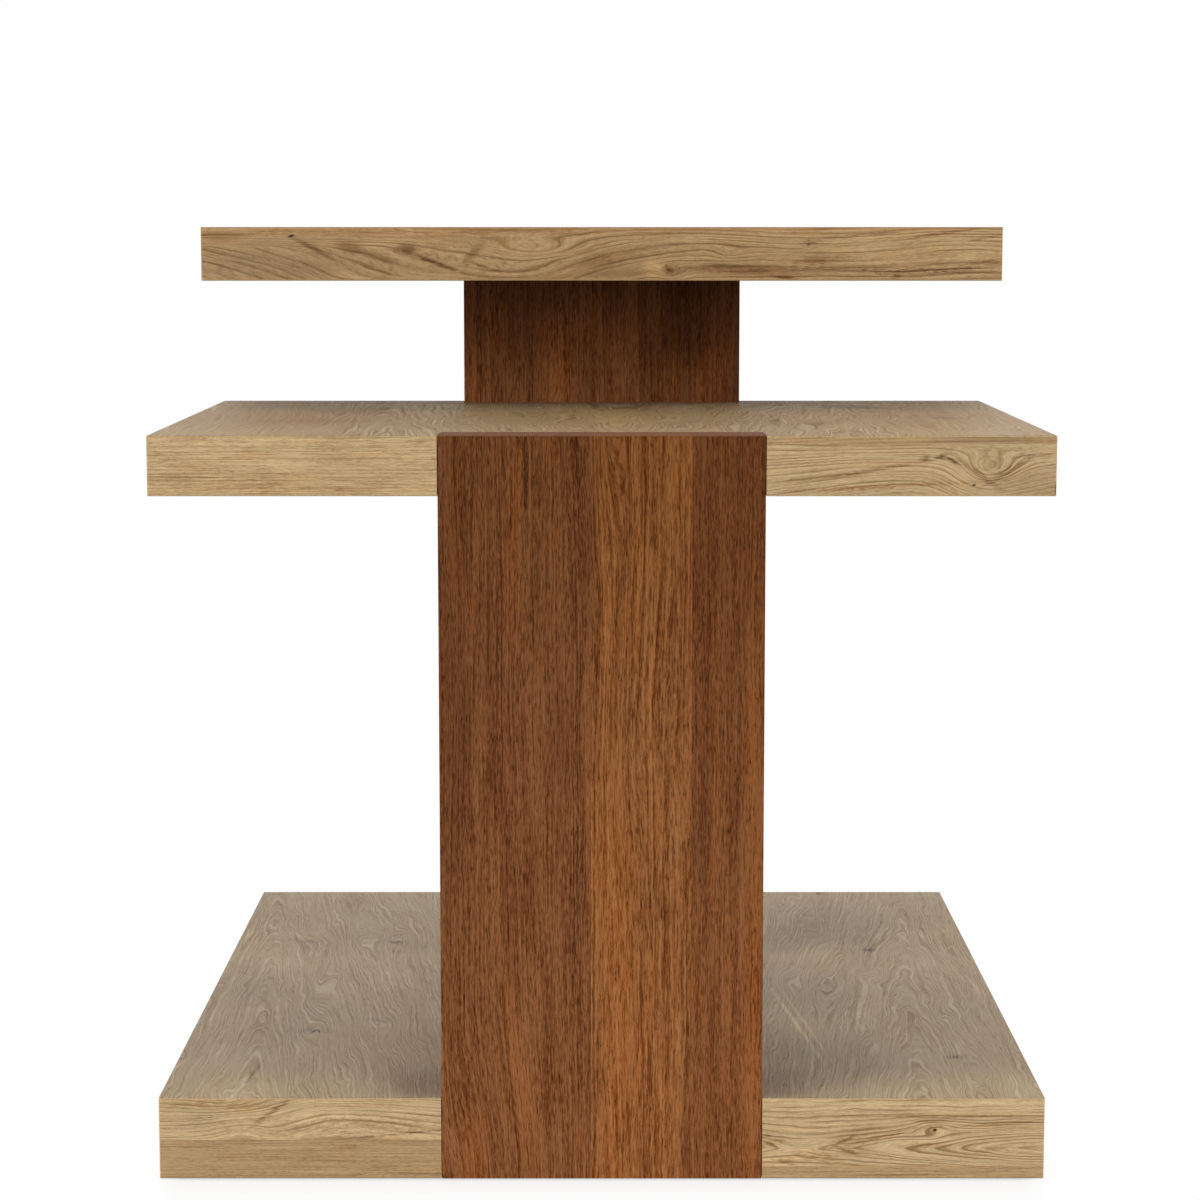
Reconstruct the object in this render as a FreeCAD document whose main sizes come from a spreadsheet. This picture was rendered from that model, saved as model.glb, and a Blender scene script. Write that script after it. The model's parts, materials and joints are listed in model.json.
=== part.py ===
"""Occasional table: a thick base, a shelf at the front and a top at the back, on two flat columns.

All three slabs are oak veneered boards with solid lippings. The front column stands in notches in the
front edges of the base and the shelf and is flush with them. The rear column stands in a mortise in the
base, has a housing across its front face for the back of the shelf, and carries the top on a steel plate.
The shelf's veneers stop at that column, so that they meet its face like a shoulder and hide the housing.

The table's frame: x to the right, y from the front to the back, z up. The origin is on the floor under
the middle of the base. All sizes are in millimetres.
"""
import FreeCAD, Part
import os
import Sketcher

Vector = FreeCAD.Vector
QUARTER = 90
TOUCH = 0.001

SIZES = [
    ("slab_width", 570, "width of base, shelf and top"),
    ("base_depth", 600, "base, front to back"),
    ("shelf_depth", 390, "shelf, front to back"),
    ("top_overhang", 102, "front of the top before the rear column's face"),
    ("total_height", 611, "floor to the top's upper face"),
    ("shelf_clearance", 92, "clear height between the shelf and the top"),
    ("base_thickness", 53.5, "base, veneers included"),
    ("slab_thickness", 38, "shelf and top, veneers included"),
    ("veneer", 1, "thickness of each face veneer"),
    ("lipping", 4, "thickness of each solid edge lipping"),
    ("corner_ease", 0.8, "flat on each upright corner of a slab"),
    ("face_round", 0.5, "rounding of a slab's face edges"),
    ("base_left_seam", 28, "depth of the seam in the base's left front lipping"),
    ("base_right_seam", 45, "depth of the seam in the base's right front lipping"),
    ("shelf_right_seam", 5, "depth of the seam in the shelf's right front lipping"),
    ("column_width", 206, "both columns"),
    ("column_thickness", 36, "both columns"),
    ("column_round", 0.8, "rounding of a column's edges"),
    ("column_gap", 0.3, "room beside a column where a slab goes round it"),
    ("front_left_stave", 96, "width of the front column's left stave"),
    ("front_centre_stave", 64, "width of the front column's centre stave"),
    ("rear_left_stave", 58, "width of the rear column's left stave"),
    ("rear_centre_stave", 74, "width of the rear column's centre stave"),
    ("housing_depth", 18, "housing across the rear column for the shelf"),
    ("housing_gap", 0.2, "room over the shelf's core in that housing"),
    ("mortise_depth", 10, "mortise in the base for the rear column"),
    ("base_joint_height", 14, "dowels above the base's underside"),
    ("shelf_joint_height", 10, "dowels above the shelf's underside"),
    ("dowel_pitch", 160, "spacing of the dowels across the front column"),
    ("dowel_diameter", 8, "dowel"),
    ("dowel_length", 40, "dowel, half in each piece"),
    ("dowel_bottom_room", 1, "room past each end of a dowel"),
    ("screw_pitch", 120, "spacing of the screws across the rear column"),
    ("foot_screw_diameter", 7, "screw up into the rear column's foot"),
    ("foot_screw_length", 75, "screw up into the rear column's foot"),
    ("foot_screw_head", 13, "its head"),
    ("foot_screw_head_height", 4, "its head"),
    ("foot_counterbore", 14, "hole for that head"),
    ("foot_counterbore_depth", 20, "hole for that head"),
    ("plate_length", 190, "steel plate across the rear column's top"),
    ("plate_width", 110, "steel plate, front to back"),
    ("plate_thickness", 4, "steel plate"),
    ("plate_corner", 8, "radius of the plate's corners"),
    ("plate_gap", 0.5, "room round the plate in its recess"),
    ("plate_row_offset", 37, "each outer row of plate screws from the column's middle"),
    ("plate_screw_diameter", 5, "screws through the plate"),
    ("plate_screw_head", 9.6, "their countersunk heads"),
    ("column_screw_length", 60, "screw through the plate into the column"),
    ("slab_screw_length", 18, "screw through the plate into the top"),
    ("pad_diameter", 30, "floor pad"),
    ("floor_gap", 1.5, "thickness of the floor pads under the base"),
    ("pad_inset", 35, "pad centre from the base's edges"),
    ("overrun", 2, "how far a cut runs past a face"),
]

doc = FreeCAD.newDocument("OccasionalTable")
sheet = doc.addObject("Spreadsheet::Sheet", "Sizes")
for row, (alias, number, note) in enumerate(SIZES, 1):
    sheet.set(f"A{row}", alias)
    sheet.set(f"B{row}", str(number))
    sheet.set(f"C{row}", note)
    sheet.setAlias(f"B{row}", alias)
doc.recompute()

pieces = []

# Heights above the floor and places along y that several pieces share, as expressions of the sizes.
FRONT = "(-Sizes.base_depth / 2)"
BASE_TOP = "(Sizes.floor_gap + Sizes.base_thickness)"
TOP_BOTTOM = "(Sizes.total_height - Sizes.slab_thickness)"
SHELF_TOP = f"({TOP_BOTTOM} - Sizes.shelf_clearance)"
SHELF_BOTTOM = f"({SHELF_TOP} - Sizes.slab_thickness)"
HALF_WIDTH = "(Sizes.slab_width / 2)"
HALF_COLUMN = "(Sizes.column_width / 2)"
HALF_NOTCH = f"({HALF_COLUMN} + Sizes.column_gap)"
REAR_FRONT = f"({FRONT} + Sizes.shelf_depth - Sizes.housing_depth)"
REAR_MIDDLE = f"({REAR_FRONT} + Sizes.column_thickness / 2)"
REAR_FOOT = f"({BASE_TOP} - Sizes.mortise_depth)"
REAR_HEIGHT = f"({TOP_BOTTOM} - {REAR_FOOT})"
TOP_FRONT = f"({REAR_FRONT} - Sizes.top_overhang)"
TOP_DEPTH = f"(Sizes.base_depth / 2 - {TOP_FRONT})"


def value(expression):
    """The number that an expression of the sizes stands for."""
    result = sheet.evalExpression(expression)
    return getattr(result, "Value", result)


def origin_feature(body, role):
    """One of a body's own base planes or axes."""
    return next(feature for feature in body.Origin.OriginFeatures if feature.Role == role)


def new_body(label, x, y, z, turn=None):
    """A body whose own origin stands at x, y, z; turn is an axis and an angle."""
    body = doc.addObject("PartDesign::Body", label)
    body.Label = label
    if turn:
        body.Placement = FreeCAD.Placement(Vector(), FreeCAD.Rotation(*turn))
    for axis, expression in zip("xyz", (x, y, z)):
        body.setExpression(f"Placement.Base.{axis}", expression)
    return body


def new_piece(label, x, y, z, turn=None):
    """A body that is a piece of the table by itself."""
    body = new_body(label, x, y, z, turn)
    pieces.append(body)
    return body


def new_sketch(body, name, role="XY_Plane", lift="0"):
    """A sketch on one of the body's own planes, lifted off it along the plane's normal."""
    sketch = body.newObject("Sketcher::SketchObject", name)
    sketch.AttachmentSupport = [(origin_feature(body, role), "")]
    sketch.MapMode = "FlatFace"
    sketch.setExpression("AttachmentOffset.Base.z", lift)
    return sketch


def fix_point(sketch, geometry, point, x, y):
    """Ties a point of a sketch to its place, measured from the sketch's origin."""
    for kind, axis, expression in (("DistanceX", -2, x), ("DistanceY", -1, y)):
        if expression == "0":
            sketch.addConstraint(Sketcher.Constraint("PointOnObject", geometry, point, axis))
        else:
            distance = Sketcher.Constraint(kind, -1, 1, geometry, point, value(expression))
            sketch.setExpression(f"Constraints[{sketch.addConstraint(distance)}]", expression)


def draw_outline(sketch, corners):
    """A closed outline through corners, each a pair of expressions."""
    points = [Vector(value(x), value(y), 0) for x, y in corners]
    first = sketch.GeometryCount
    for start, end in zip(points, points[1:] + points[:1]):
        sketch.addGeometry(Part.LineSegment(start, end), False)
    for index, (x, y) in enumerate(corners):
        following = (index + 1) % len(corners)
        sketch.addConstraint(Sketcher.Constraint("Coincident", first + index, 2, first + following, 1))
        fix_point(sketch, first + index, 1, x, y)


def draw_box(sketch, left, right, low, high):
    """A rectangle between two pairs of expressions."""
    draw_outline(sketch, [(left, low), (right, low), (right, high), (left, high)])


def draw_circle(sketch, x, y, diameter):
    """A circle about the point x, y."""
    centre = Vector(value(x), value(y), 0)
    geometry = sketch.addGeometry(Part.Circle(centre, Vector(0, 0, 1), value(diameter) / 2), False)
    fix_point(sketch, geometry, 3, x, y)
    size = sketch.addConstraint(Sketcher.Constraint("Diameter", geometry, value(diameter)))
    sketch.setExpression(f"Constraints[{size}]", diameter)


def pad(body, sketch, length):
    """Material from the sketch along its plane's normal."""
    feature = body.newObject("PartDesign::Pad", "Pad")
    feature.Profile = sketch
    feature.setExpression("Length", length)
    return feature


def pocket(body, sketch, depth, along_normal=False):
    """A cut from the sketch against its plane's normal, or along it."""
    feature = body.newObject("PartDesign::Pocket", "Pocket")
    feature.Profile = sketch
    feature.Type = "Length"
    feature.Reversed = along_normal
    feature.setExpression("Length", depth)
    return feature


def revolve(body, corners):
    """A turned solid about the body's z axis; each corner is a radius and a height."""
    sketch = new_sketch(body, "Profile", "XZ_Plane")
    draw_outline(sketch, corners)
    feature = body.newObject("PartDesign::Revolution", "Revolution")
    feature.Profile = sketch
    feature.ReferenceAxis = (origin_feature(body, "Z_Axis"), [""])
    feature.Angle = 4 * QUARTER
    return feature


def pair_up(body, feature, pitch, row_pitch=None):
    """A second copy along the body's x axis, and a second such pair along its y axis if asked for."""
    pattern = body.newObject("PartDesign::LinearPattern", "Pair")
    pattern.Originals = [feature]
    pattern.Direction = (origin_feature(body, "X_Axis"), [""])
    pattern.Occurrences = 2
    pattern.setExpression("Length", pitch)
    if row_pitch:
        pattern.Direction2 = (origin_feature(body, "Y_Axis"), [""])
        pattern.Occurrences2 = 2
        pattern.setExpression("Length2", row_pitch)
    body.Tip = pattern


def edge_names(feature, test):
    """The names of the feature's edges whose middle points pass the test."""
    names = []
    for number, edge in enumerate(feature.Shape.Edges, 1):
        middle = edge.valueAt((edge.FirstParameter + edge.LastParameter) / 2)
        if test(middle):
            names.append(f"Edge{number}")
    return names


def round_edges(body, feature, radius, test):
    """A fillet on the edges that pass the test."""
    doc.recompute()
    fillet = body.newObject("PartDesign::Fillet", "Fillet")
    fillet.Base = (feature, edge_names(feature, test))
    fillet.setExpression("Radius", radius)
    return fillet


def pair_places(pitch):
    """Places of a pair about the middle, as expressions."""
    return [f"(-{pitch} / 2)", f"({pitch} / 2)"]


SCREW_PAIR = pair_places("Sizes.screw_pitch")
DOWEL_PAIR = pair_places("Sizes.dowel_pitch")
DOWEL_HALF = "(Sizes.dowel_length / 2 + Sizes.dowel_bottom_room)"


class Slab:
    """One veneered board: its place, its size and the pieces that it is made of."""

    def __init__(self, name, front, depth, bottom, thickness, notched):
        self.name = name
        self.front = front
        self.depth = depth
        self.bottom = bottom
        self.thickness = thickness
        self.notched = notched
        self.core = f"({thickness} - 2 * Sizes.veneer)"
        self.layer = f"({self.core} / 2)"
        self.core_bottom = f"({bottom} + Sizes.veneer)"

    def outline(self, inset, ease=None):
        """The board's plan, set in from its edges, with its corners eased."""
        side = f"({HALF_WIDTH} - {inset})"
        front = inset
        back = f"({self.depth} - {inset})"
        notch = []
        if self.notched:
            inner = "Sizes.column_thickness"
            notch = [(f"-{HALF_NOTCH}", front), (f"-{HALF_NOTCH}", inner),
                     (HALF_NOTCH, inner), (HALF_NOTCH, front)]
        if ease is None:
            return [(f"-{side}", front)] + notch + [(side, front), (side, back), (f"-{side}", back)]
        return ([(f"-{side} + {ease}", front)] + notch
                + [(f"{side} - {ease}", front), (side, f"{front} + {ease}"),
                   (side, f"{back} - {ease}"), (f"{side} - {ease}", back),
                   (f"-{side} + {ease}", back), (f"-{side}", f"{back} - {ease}"),
                   (f"-{side}", f"{front} + {ease}")])

    def core_layer(self, label, upper):
        """One of the two boards that the core is glued up from."""
        bottom = f"{self.core_bottom} + {self.layer}" if upper else self.core_bottom
        body = new_piece(f"{self.name}_{label}", "0", self.front, bottom)
        sketch = new_sketch(body, "Plan")
        draw_outline(sketch, self.outline("Sizes.lipping"))
        pad(body, sketch, self.layer)
        return body

    def face_veneer(self, label, upper):
        """One face veneer, which covers the lippings too, with its outer edges rounded."""
        bottom = f"{self.bottom} + {self.thickness} - Sizes.veneer" if upper else self.bottom
        body = new_piece(f"{self.name}_{label}", "0", self.front, bottom)
        sketch = new_sketch(body, "Plan")
        draw_outline(sketch, self.outline("0", "Sizes.corner_ease"))
        sheet_of_oak = pad(body, sketch, "Sizes.veneer")
        height = value("Sizes.veneer") if upper else 0
        notch_side = value(HALF_NOTCH) + TOUCH
        notch_back = value("Sizes.column_thickness") + TOUCH

        def is_outer(point):
            in_notch = self.notched and abs(point.x) < notch_side and point.y < notch_back
            return abs(point.z - height) < TOUCH and not in_notch

        round_edges(body, sheet_of_oak, "Sizes.face_round", is_outer)
        return body

    def lipping(self, label, side, above="0", height=None):
        """One solid lipping, mitred where it meets another at a corner of the board."""
        back = f"({self.front} + {self.depth})"
        to_notch = f"({HALF_WIDTH} - {HALF_NOTCH})"
        x, y, quarters, length, mitred = {
            "front": (f"-{HALF_WIDTH}", self.front, 0, "Sizes.slab_width", (True, True)),
            "front_left": (f"-{HALF_WIDTH}", self.front, 0, to_notch, (True, False)),
            "front_right": (HALF_NOTCH, self.front, 0, to_notch, (False, True)),
            "right": (HALF_WIDTH, self.front, 1, self.depth, (True, True)),
            "back": (HALF_WIDTH, back, 2, "Sizes.slab_width", (True, True)),
            "left": (f"-{HALF_WIDTH}", back, 3, self.depth, (True, True)),
        }[side]
        turn = (Vector(0, 0, 1), quarters * QUARTER)
        body = new_piece(f"{self.name}_{label}", x, y, f"{self.core_bottom} + {above}", turn)
        ease = "Sizes.corner_ease"
        thick = "Sizes.lipping"
        start = [("0", thick), ("0", "0")]
        end = [(length, "0"), (length, thick)]
        if mitred[0]:
            start = [(thick, thick), (f"{ease} / 2", f"{ease} / 2"), (ease, "0")]
        if mitred[1]:
            end = [(f"{length} - {ease}", "0"), (f"{length} - {ease} / 2", f"{ease} / 2"),
                   (f"{length} - {thick}", thick)]
        sketch = new_sketch(body, "Plan")
        draw_outline(sketch, start + end)
        pad(body, sketch, height or self.core)
        return body

    def split_lipping(self, side, seam):
        """A front lipping glued up from two strips, with its seam at a depth under the board's face."""
        upper = f"({seam} - Sizes.veneer)"
        lower = f"({self.core} - {upper})"
        self.lipping(f"{side}_strip_lower", side, "0", lower)
        self.lipping(f"{side}_strip_upper", side, lower, upper)


def bore_down(body, face, places, y, diameter, depth):
    """Round holes down from a level of a flat-lying piece."""
    sketch = new_sketch(body, "Bores", lift=face)
    for x in places:
        draw_circle(sketch, x, y, diameter)
    return pocket(body, sketch, depth)


def bore_up(body, places, y, diameter, depth):
    """Round holes up from the underside of a piece."""
    sketch = new_sketch(body, "Bores")
    for x in places:
        draw_circle(sketch, x, y, diameter)
    return pocket(body, sketch, depth, along_normal=True)


def bore_back(body, y, places, z, diameter, depth):
    """Round holes from the plane at y towards the back."""
    sketch = new_sketch(body, "Bores", "XZ_Plane", f"-{y}")
    for x in places:
        draw_circle(sketch, x, z, diameter)
    return pocket(body, sketch, depth)


def bore_forward(body, y, places, z, diameter, depth):
    """Round holes from the plane at y towards the front."""
    sketch = new_sketch(body, "Bores", "XZ_Plane", f"-{y}")
    for x in places:
        draw_circle(sketch, x, z, diameter)
    return pocket(body, sketch, depth, along_normal=True)


def window(body, left, right, low, high, depth, lift="0", along_normal=False):
    """A rectangular cut in a flat-lying piece."""
    sketch = new_sketch(body, "Window", lift=lift)
    draw_box(sketch, left, right, low, high)
    return pocket(body, sketch, depth, along_normal)


def bore_for_dowels(layer, joint_height):
    """Holes in the back of a slab's notch for the dowels that hold the front column."""
    axis = f"({joint_height} - Sizes.veneer)"
    bore_back(layer, "Sizes.column_thickness", DOWEL_PAIR, axis, "Sizes.dowel_diameter", DOWEL_HALF)


def make_base():
    """The base: it holds the front column in its notch and the rear column in its mortise."""
    base = Slab("base", FRONT, "Sizes.base_depth", "Sizes.floor_gap", "Sizes.base_thickness", True)
    lower = base.core_layer("core_lower", False)
    upper = base.core_layer("core_upper", True)
    top = base.face_veneer("top_veneer", True)
    bottom = base.face_veneer("bottom_veneer", False)
    base.split_lipping("front_left", "Sizes.base_left_seam")
    base.split_lipping("front_right", "Sizes.base_right_seam")
    for side in ("left", "right", "back"):
        base.lipping(f"{side}_lipping", side)
    bore_for_dowels(lower, "Sizes.base_joint_height")

    # The mortise goes through the veneer into the upper board.
    near = f"({REAR_FRONT} - {FRONT} - Sizes.column_gap)"
    far = f"({near} + Sizes.column_thickness + 2 * Sizes.column_gap)"
    window(top, f"-{HALF_NOTCH}", HALF_NOTCH, near, far, "Sizes.veneer", "Sizes.veneer")
    window(upper, f"-{HALF_NOTCH}", HALF_NOTCH, near, far, "Sizes.mortise_depth - Sizes.veneer",
           base.layer)

    # Counterbored holes from below for the screws into the rear column's foot.
    row_y = f"({REAR_MIDDLE} - {FRONT})"
    head_room = "(Sizes.foot_counterbore_depth - Sizes.veneer)"
    bore_up(bottom, SCREW_PAIR, row_y, "Sizes.foot_counterbore", "Sizes.veneer")
    bore_up(lower, SCREW_PAIR, row_y, "Sizes.foot_counterbore", head_room)
    bore_up(lower, SCREW_PAIR, row_y, "Sizes.foot_screw_diameter", base.layer)
    bore_up(upper, SCREW_PAIR, row_y, "Sizes.foot_screw_diameter", base.layer)


def make_shelf():
    """The shelf: notched round the front column, its back edge held in the rear column's housing."""
    shelf = Slab("shelf", FRONT, "Sizes.shelf_depth", SHELF_BOTTOM, "Sizes.slab_thickness", True)
    lower = shelf.core_layer("core_lower", False)
    shelf.core_layer("core_upper", True)
    top = shelf.face_veneer("top_veneer", True)
    bottom = shelf.face_veneer("bottom_veneer", False)
    shelf.lipping("front_left_lipping", "front_left")
    shelf.split_lipping("front_right", "Sizes.shelf_right_seam")
    for side in ("left", "right", "back"):
        shelf.lipping(f"{side}_lipping", side)
    bore_for_dowels(lower, "Sizes.shelf_joint_height")

    # The veneers stop at the rear column's front face, and the core goes on into the housing.
    shoulder = "(Sizes.shelf_depth - Sizes.housing_depth - Sizes.column_gap)"
    behind = "(Sizes.shelf_depth + Sizes.overrun)"
    for body in (top, bottom):
        window(body, f"-{HALF_NOTCH}", HALF_NOTCH, shoulder, behind, "Sizes.veneer", "Sizes.veneer")


def make_top():
    """The top: its underside has a recess for the steel plate on the rear column."""
    top = Slab("top", TOP_FRONT, TOP_DEPTH, TOP_BOTTOM, "Sizes.slab_thickness", False)
    lower = top.core_layer("core_lower", False)
    top.core_layer("core_upper", True)
    top.face_veneer("face_veneer", True)
    bottom = top.face_veneer("bottom_veneer", False)
    for side in ("front", "left", "right", "back"):
        top.lipping(f"{side}_lipping", side)

    middle = f"({REAR_MIDDLE} - {TOP_FRONT})"
    half_x = "(Sizes.plate_length / 2 + Sizes.plate_gap)"
    half_y = "(Sizes.plate_width / 2 + Sizes.plate_gap)"
    recess = "(Sizes.plate_thickness - Sizes.veneer)"
    for body, depth in ((bottom, "Sizes.veneer"), (lower, recess)):
        window(body, f"-{half_x}", half_x, f"{middle} - {half_y}", f"{middle} + {half_y}", depth,
               along_normal=True)
    screw_room = "(Sizes.slab_screw_length - Sizes.veneer)"
    for sign in ("-", "+"):
        row_y = f"({middle} {sign} Sizes.plate_row_offset)"
        bore_up(lower, SCREW_PAIR, row_y, "Sizes.plate_screw_diameter", screw_room)


def column_board(label, front, foot, height):
    """A column as one glued-up board, with its upright and top edges rounded."""
    body = new_body(label, "0", front, foot)
    sketch = new_sketch(body, "Plan")
    draw_box(sketch, f"-{HALF_COLUMN}", HALF_COLUMN, "0", "Sizes.column_thickness")
    board = pad(body, sketch, height)
    round_edges(body, board, "Sizes.column_round", lambda point: point.z > TOUCH)
    return body


def split_staves(board, name, widths, front, foot, height):
    """Tells a column board apart into the staves that it is glued up from."""
    left = f"-{HALF_COLUMN}"
    for stave, width in zip(("left", "centre", "right"), widths):
        strip = doc.addObject("Part::Box", f"{name}_{stave}_strip")
        strip.setExpression("Length", width)
        strip.setExpression("Width", "Sizes.column_thickness + 2 * Sizes.overrun")
        strip.setExpression("Height", f"{height} + 2 * Sizes.overrun")
        strip.setExpression("Placement.Base.x", left)
        strip.setExpression("Placement.Base.y", f"{front} - Sizes.overrun")
        strip.setExpression("Placement.Base.z", f"{foot} - Sizes.overrun")
        piece = doc.addObject("Part::Common", f"{name}_stave_{stave}")
        piece.Label = f"{name}_stave_{stave}"
        piece.Base = board
        piece.Tool = strip
        pieces.append(piece)
        left = f"{left} + {width}"


def make_front_column():
    """The front column, from the base's underside to the shelf's upper face."""
    foot = "Sizes.floor_gap"
    height = f"({SHELF_TOP} - Sizes.floor_gap)"
    board = column_board("front_column_board", FRONT, foot, height)
    back = "Sizes.column_thickness"
    shelf_axis = f"({SHELF_BOTTOM} + Sizes.shelf_joint_height - Sizes.floor_gap)"
    for axis in ("Sizes.base_joint_height", shelf_axis):
        bore_forward(board, back, DOWEL_PAIR, axis, "Sizes.dowel_diameter", DOWEL_HALF)
    left = "Sizes.front_left_stave"
    centre = "Sizes.front_centre_stave"
    right = f"(Sizes.column_width - {left} - {centre})"
    split_staves(board, "front_column", (left, centre, right), FRONT, foot, height)


def make_rear_column():
    """The rear column, from the mortise in the base to the top's underside."""
    board = column_board("rear_column_board", REAR_FRONT, REAR_FOOT, REAR_HEIGHT)
    housing = new_sketch(board, "Housing", "XZ_Plane")
    low = f"({SHELF_BOTTOM} + Sizes.veneer - {REAR_FOOT})"
    high = f"({low} + Sizes.slab_thickness - 2 * Sizes.veneer + Sizes.housing_gap)"
    side = f"({HALF_COLUMN} + Sizes.overrun)"
    draw_box(housing, f"-{side}", side, low, high)
    pocket(board, housing, "Sizes.housing_depth")

    # Screws up into the foot and down through the plate into the top end.
    middle = "(Sizes.column_thickness / 2)"
    in_foot = ("(Sizes.foot_screw_length + Sizes.foot_counterbore_depth + Sizes.floor_gap"
               f" - Sizes.foot_screw_head_height - {REAR_FOOT})")
    bore_up(board, SCREW_PAIR, middle, "Sizes.foot_screw_diameter", in_foot)
    bore_down(board, REAR_HEIGHT, SCREW_PAIR, middle, "Sizes.plate_screw_diameter",
              "Sizes.column_screw_length - Sizes.plate_thickness")
    left = "Sizes.rear_left_stave"
    centre = "Sizes.rear_centre_stave"
    right = f"(Sizes.column_width - {left} - {centre})"
    split_staves(board, "rear_column", (left, centre, right), REAR_FRONT, REAR_FOOT, REAR_HEIGHT)


def countersunk_holes(body, lift, rows, along_normal):
    """Rows of countersunk through holes in the plate."""
    sketch = new_sketch(body, "Holes", lift=lift)
    for y in rows:
        for x in SCREW_PAIR:
            draw_circle(sketch, x, y, "Sizes.plate_screw_diameter")
    doc.recompute()
    hole = body.newObject("PartDesign::Hole", "Countersunk")
    hole.Profile = sketch
    hole.Reversed = along_normal
    hole.DepthType = "ThroughAll"
    hole.setExpression("Diameter", "Sizes.plate_screw_diameter")
    hole.HoleCutType = "Countersink"
    hole.HoleCutCustomValues = True
    hole.HoleCutCountersinkAngle = QUARTER
    hole.setExpression("HoleCutDiameter", "Sizes.plate_screw_head")
    return hole


def make_plate():
    """The steel plate between the rear column's top end and the top."""
    body = new_piece("column_top_plate", "0", REAR_MIDDLE, TOP_BOTTOM)
    sketch = new_sketch(body, "Plan")
    half_x = "(Sizes.plate_length / 2)"
    half_y = "(Sizes.plate_width / 2)"
    draw_box(sketch, f"-{half_x}", half_x, f"-{half_y}", half_y)
    blank = pad(body, sketch, "Sizes.plate_thickness")
    middle = value("Sizes.plate_thickness") / 2
    round_edges(body, blank, "Sizes.plate_corner", lambda point: abs(point.z - middle) < TOUCH)
    countersunk_holes(body, "Sizes.plate_thickness", ["0"], False)
    outer_rows = ["-Sizes.plate_row_offset", "Sizes.plate_row_offset"]
    countersunk_holes(body, "0", outer_rows, True)


def screw_profile(diameter, length, head, head_height, countersunk):
    """Half the section of a screw, with its head's face at the origin and its shank along z."""
    shank = f"({diameter} / 2)"
    rim = [(f"{head} / 2", "0")]
    if not countersunk:
        rim.append((f"{head} / 2", head_height))
    return [("0", "0")] + rim + [(shank, head_height), (shank, length), ("0", length)]


def screw_pair(label, y, z, turn, profile, row_pitch=None):
    """A pair of like screws across a column, or two such pairs one behind the other."""
    body = new_piece(label, SCREW_PAIR[0], y, z, turn)
    screw = revolve(body, profile)
    pair_up(body, screw, "Sizes.screw_pitch", row_pitch)


def make_screws():
    """The screws into the rear column's foot and those through the steel plate."""
    pointing_down = (Vector(1, 0, 0), 2 * QUARTER)
    foot = screw_profile("Sizes.foot_screw_diameter", "Sizes.foot_screw_length",
                         "Sizes.foot_screw_head", "Sizes.foot_screw_head_height", False)
    head_face = "(Sizes.floor_gap + Sizes.foot_counterbore_depth - Sizes.foot_screw_head_height)"
    screw_pair("rear_foot_screws", REAR_MIDDLE, head_face, None, foot)

    head_height = "((Sizes.plate_screw_head - Sizes.plate_screw_diameter) / 2)"
    down = screw_profile("Sizes.plate_screw_diameter", "Sizes.column_screw_length",
                         "Sizes.plate_screw_head", head_height, True)
    screw_pair("plate_column_screws", REAR_MIDDLE, f"{TOP_BOTTOM} + Sizes.plate_thickness",
               pointing_down, down)
    up = screw_profile("Sizes.plate_screw_diameter", "Sizes.slab_screw_length",
                       "Sizes.plate_screw_head", head_height, True)
    screw_pair("plate_slab_screws", f"{REAR_MIDDLE} - Sizes.plate_row_offset", TOP_BOTTOM, None, up,
               "2 * Sizes.plate_row_offset")


def make_dowels(name, bottom, joint_height):
    """The dowels between a slab and the front column."""
    middle = f"({FRONT} + Sizes.column_thickness)"
    dowels = new_piece(f"{name}_dowels", DOWEL_PAIR[0], middle, f"({bottom} + {joint_height})")
    sketch = new_sketch(dowels, "Section", "XZ_Plane", "-Sizes.dowel_length / 2")
    draw_circle(sketch, "0", "0", "Sizes.dowel_diameter")
    dowel = pad(dowels, sketch, "Sizes.dowel_length")
    pair_up(dowels, dowel, "Sizes.dowel_pitch")


def make_floor_pads():
    """Round pads stuck under the base, which keep it off the floor."""
    body = new_piece("floor_pads", f"Sizes.pad_inset - {HALF_WIDTH}", f"{FRONT} + Sizes.pad_inset", "0")
    sketch = new_sketch(body, "Plan")
    draw_circle(sketch, "0", "0", "Sizes.pad_diameter")
    disc = pad(body, sketch, "Sizes.floor_gap")
    pair_up(body, disc, "Sizes.slab_width - 2 * Sizes.pad_inset", "Sizes.base_depth - 2 * Sizes.pad_inset")


def check_model():
    """Stops the build if any object failed, a cut took nothing away or a piece isn't a sound solid."""
    for item in doc.Objects:
        if "Invalid" in item.State or "Error" in item.State:
            raise RuntimeError(f"{item.Label} failed: {item.State}")
    for cut in doc.findObjects("PartDesign::Pocket"):
        if cut.Shape.Volume >= cut.BaseFeature.Shape.Volume - TOUCH:
            raise RuntimeError(f"a cut in {cut.getParentGeoFeatureGroup().Label} takes nothing away")
    for piece in pieces:
        if piece.Shape.isNull() or not piece.Shape.isValid() or not piece.Shape.Solids:
            raise RuntimeError(f"{piece.Label} is not a sound solid")


make_base()
make_shelf()
make_top()
make_front_column()
make_rear_column()
make_plate()
make_screws()
make_dowels("base", "Sizes.floor_gap", "Sizes.base_joint_height")
make_dowels("shelf", SHELF_BOTTOM, "Sizes.shelf_joint_height")
make_floor_pads()
doc.recompute()
check_model()

os.makedirs("parts", exist_ok=True)
for piece in pieces:
    piece.Shape.exportStep(f"parts/{piece.Label}.step")
    print(piece.Label, len(piece.Shape.Solids), "solids", round(piece.Shape.Volume), "mm3")
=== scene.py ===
"""Stepped occasional table: oak slabs on two dark stained columns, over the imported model."""

import json
import math

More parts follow.
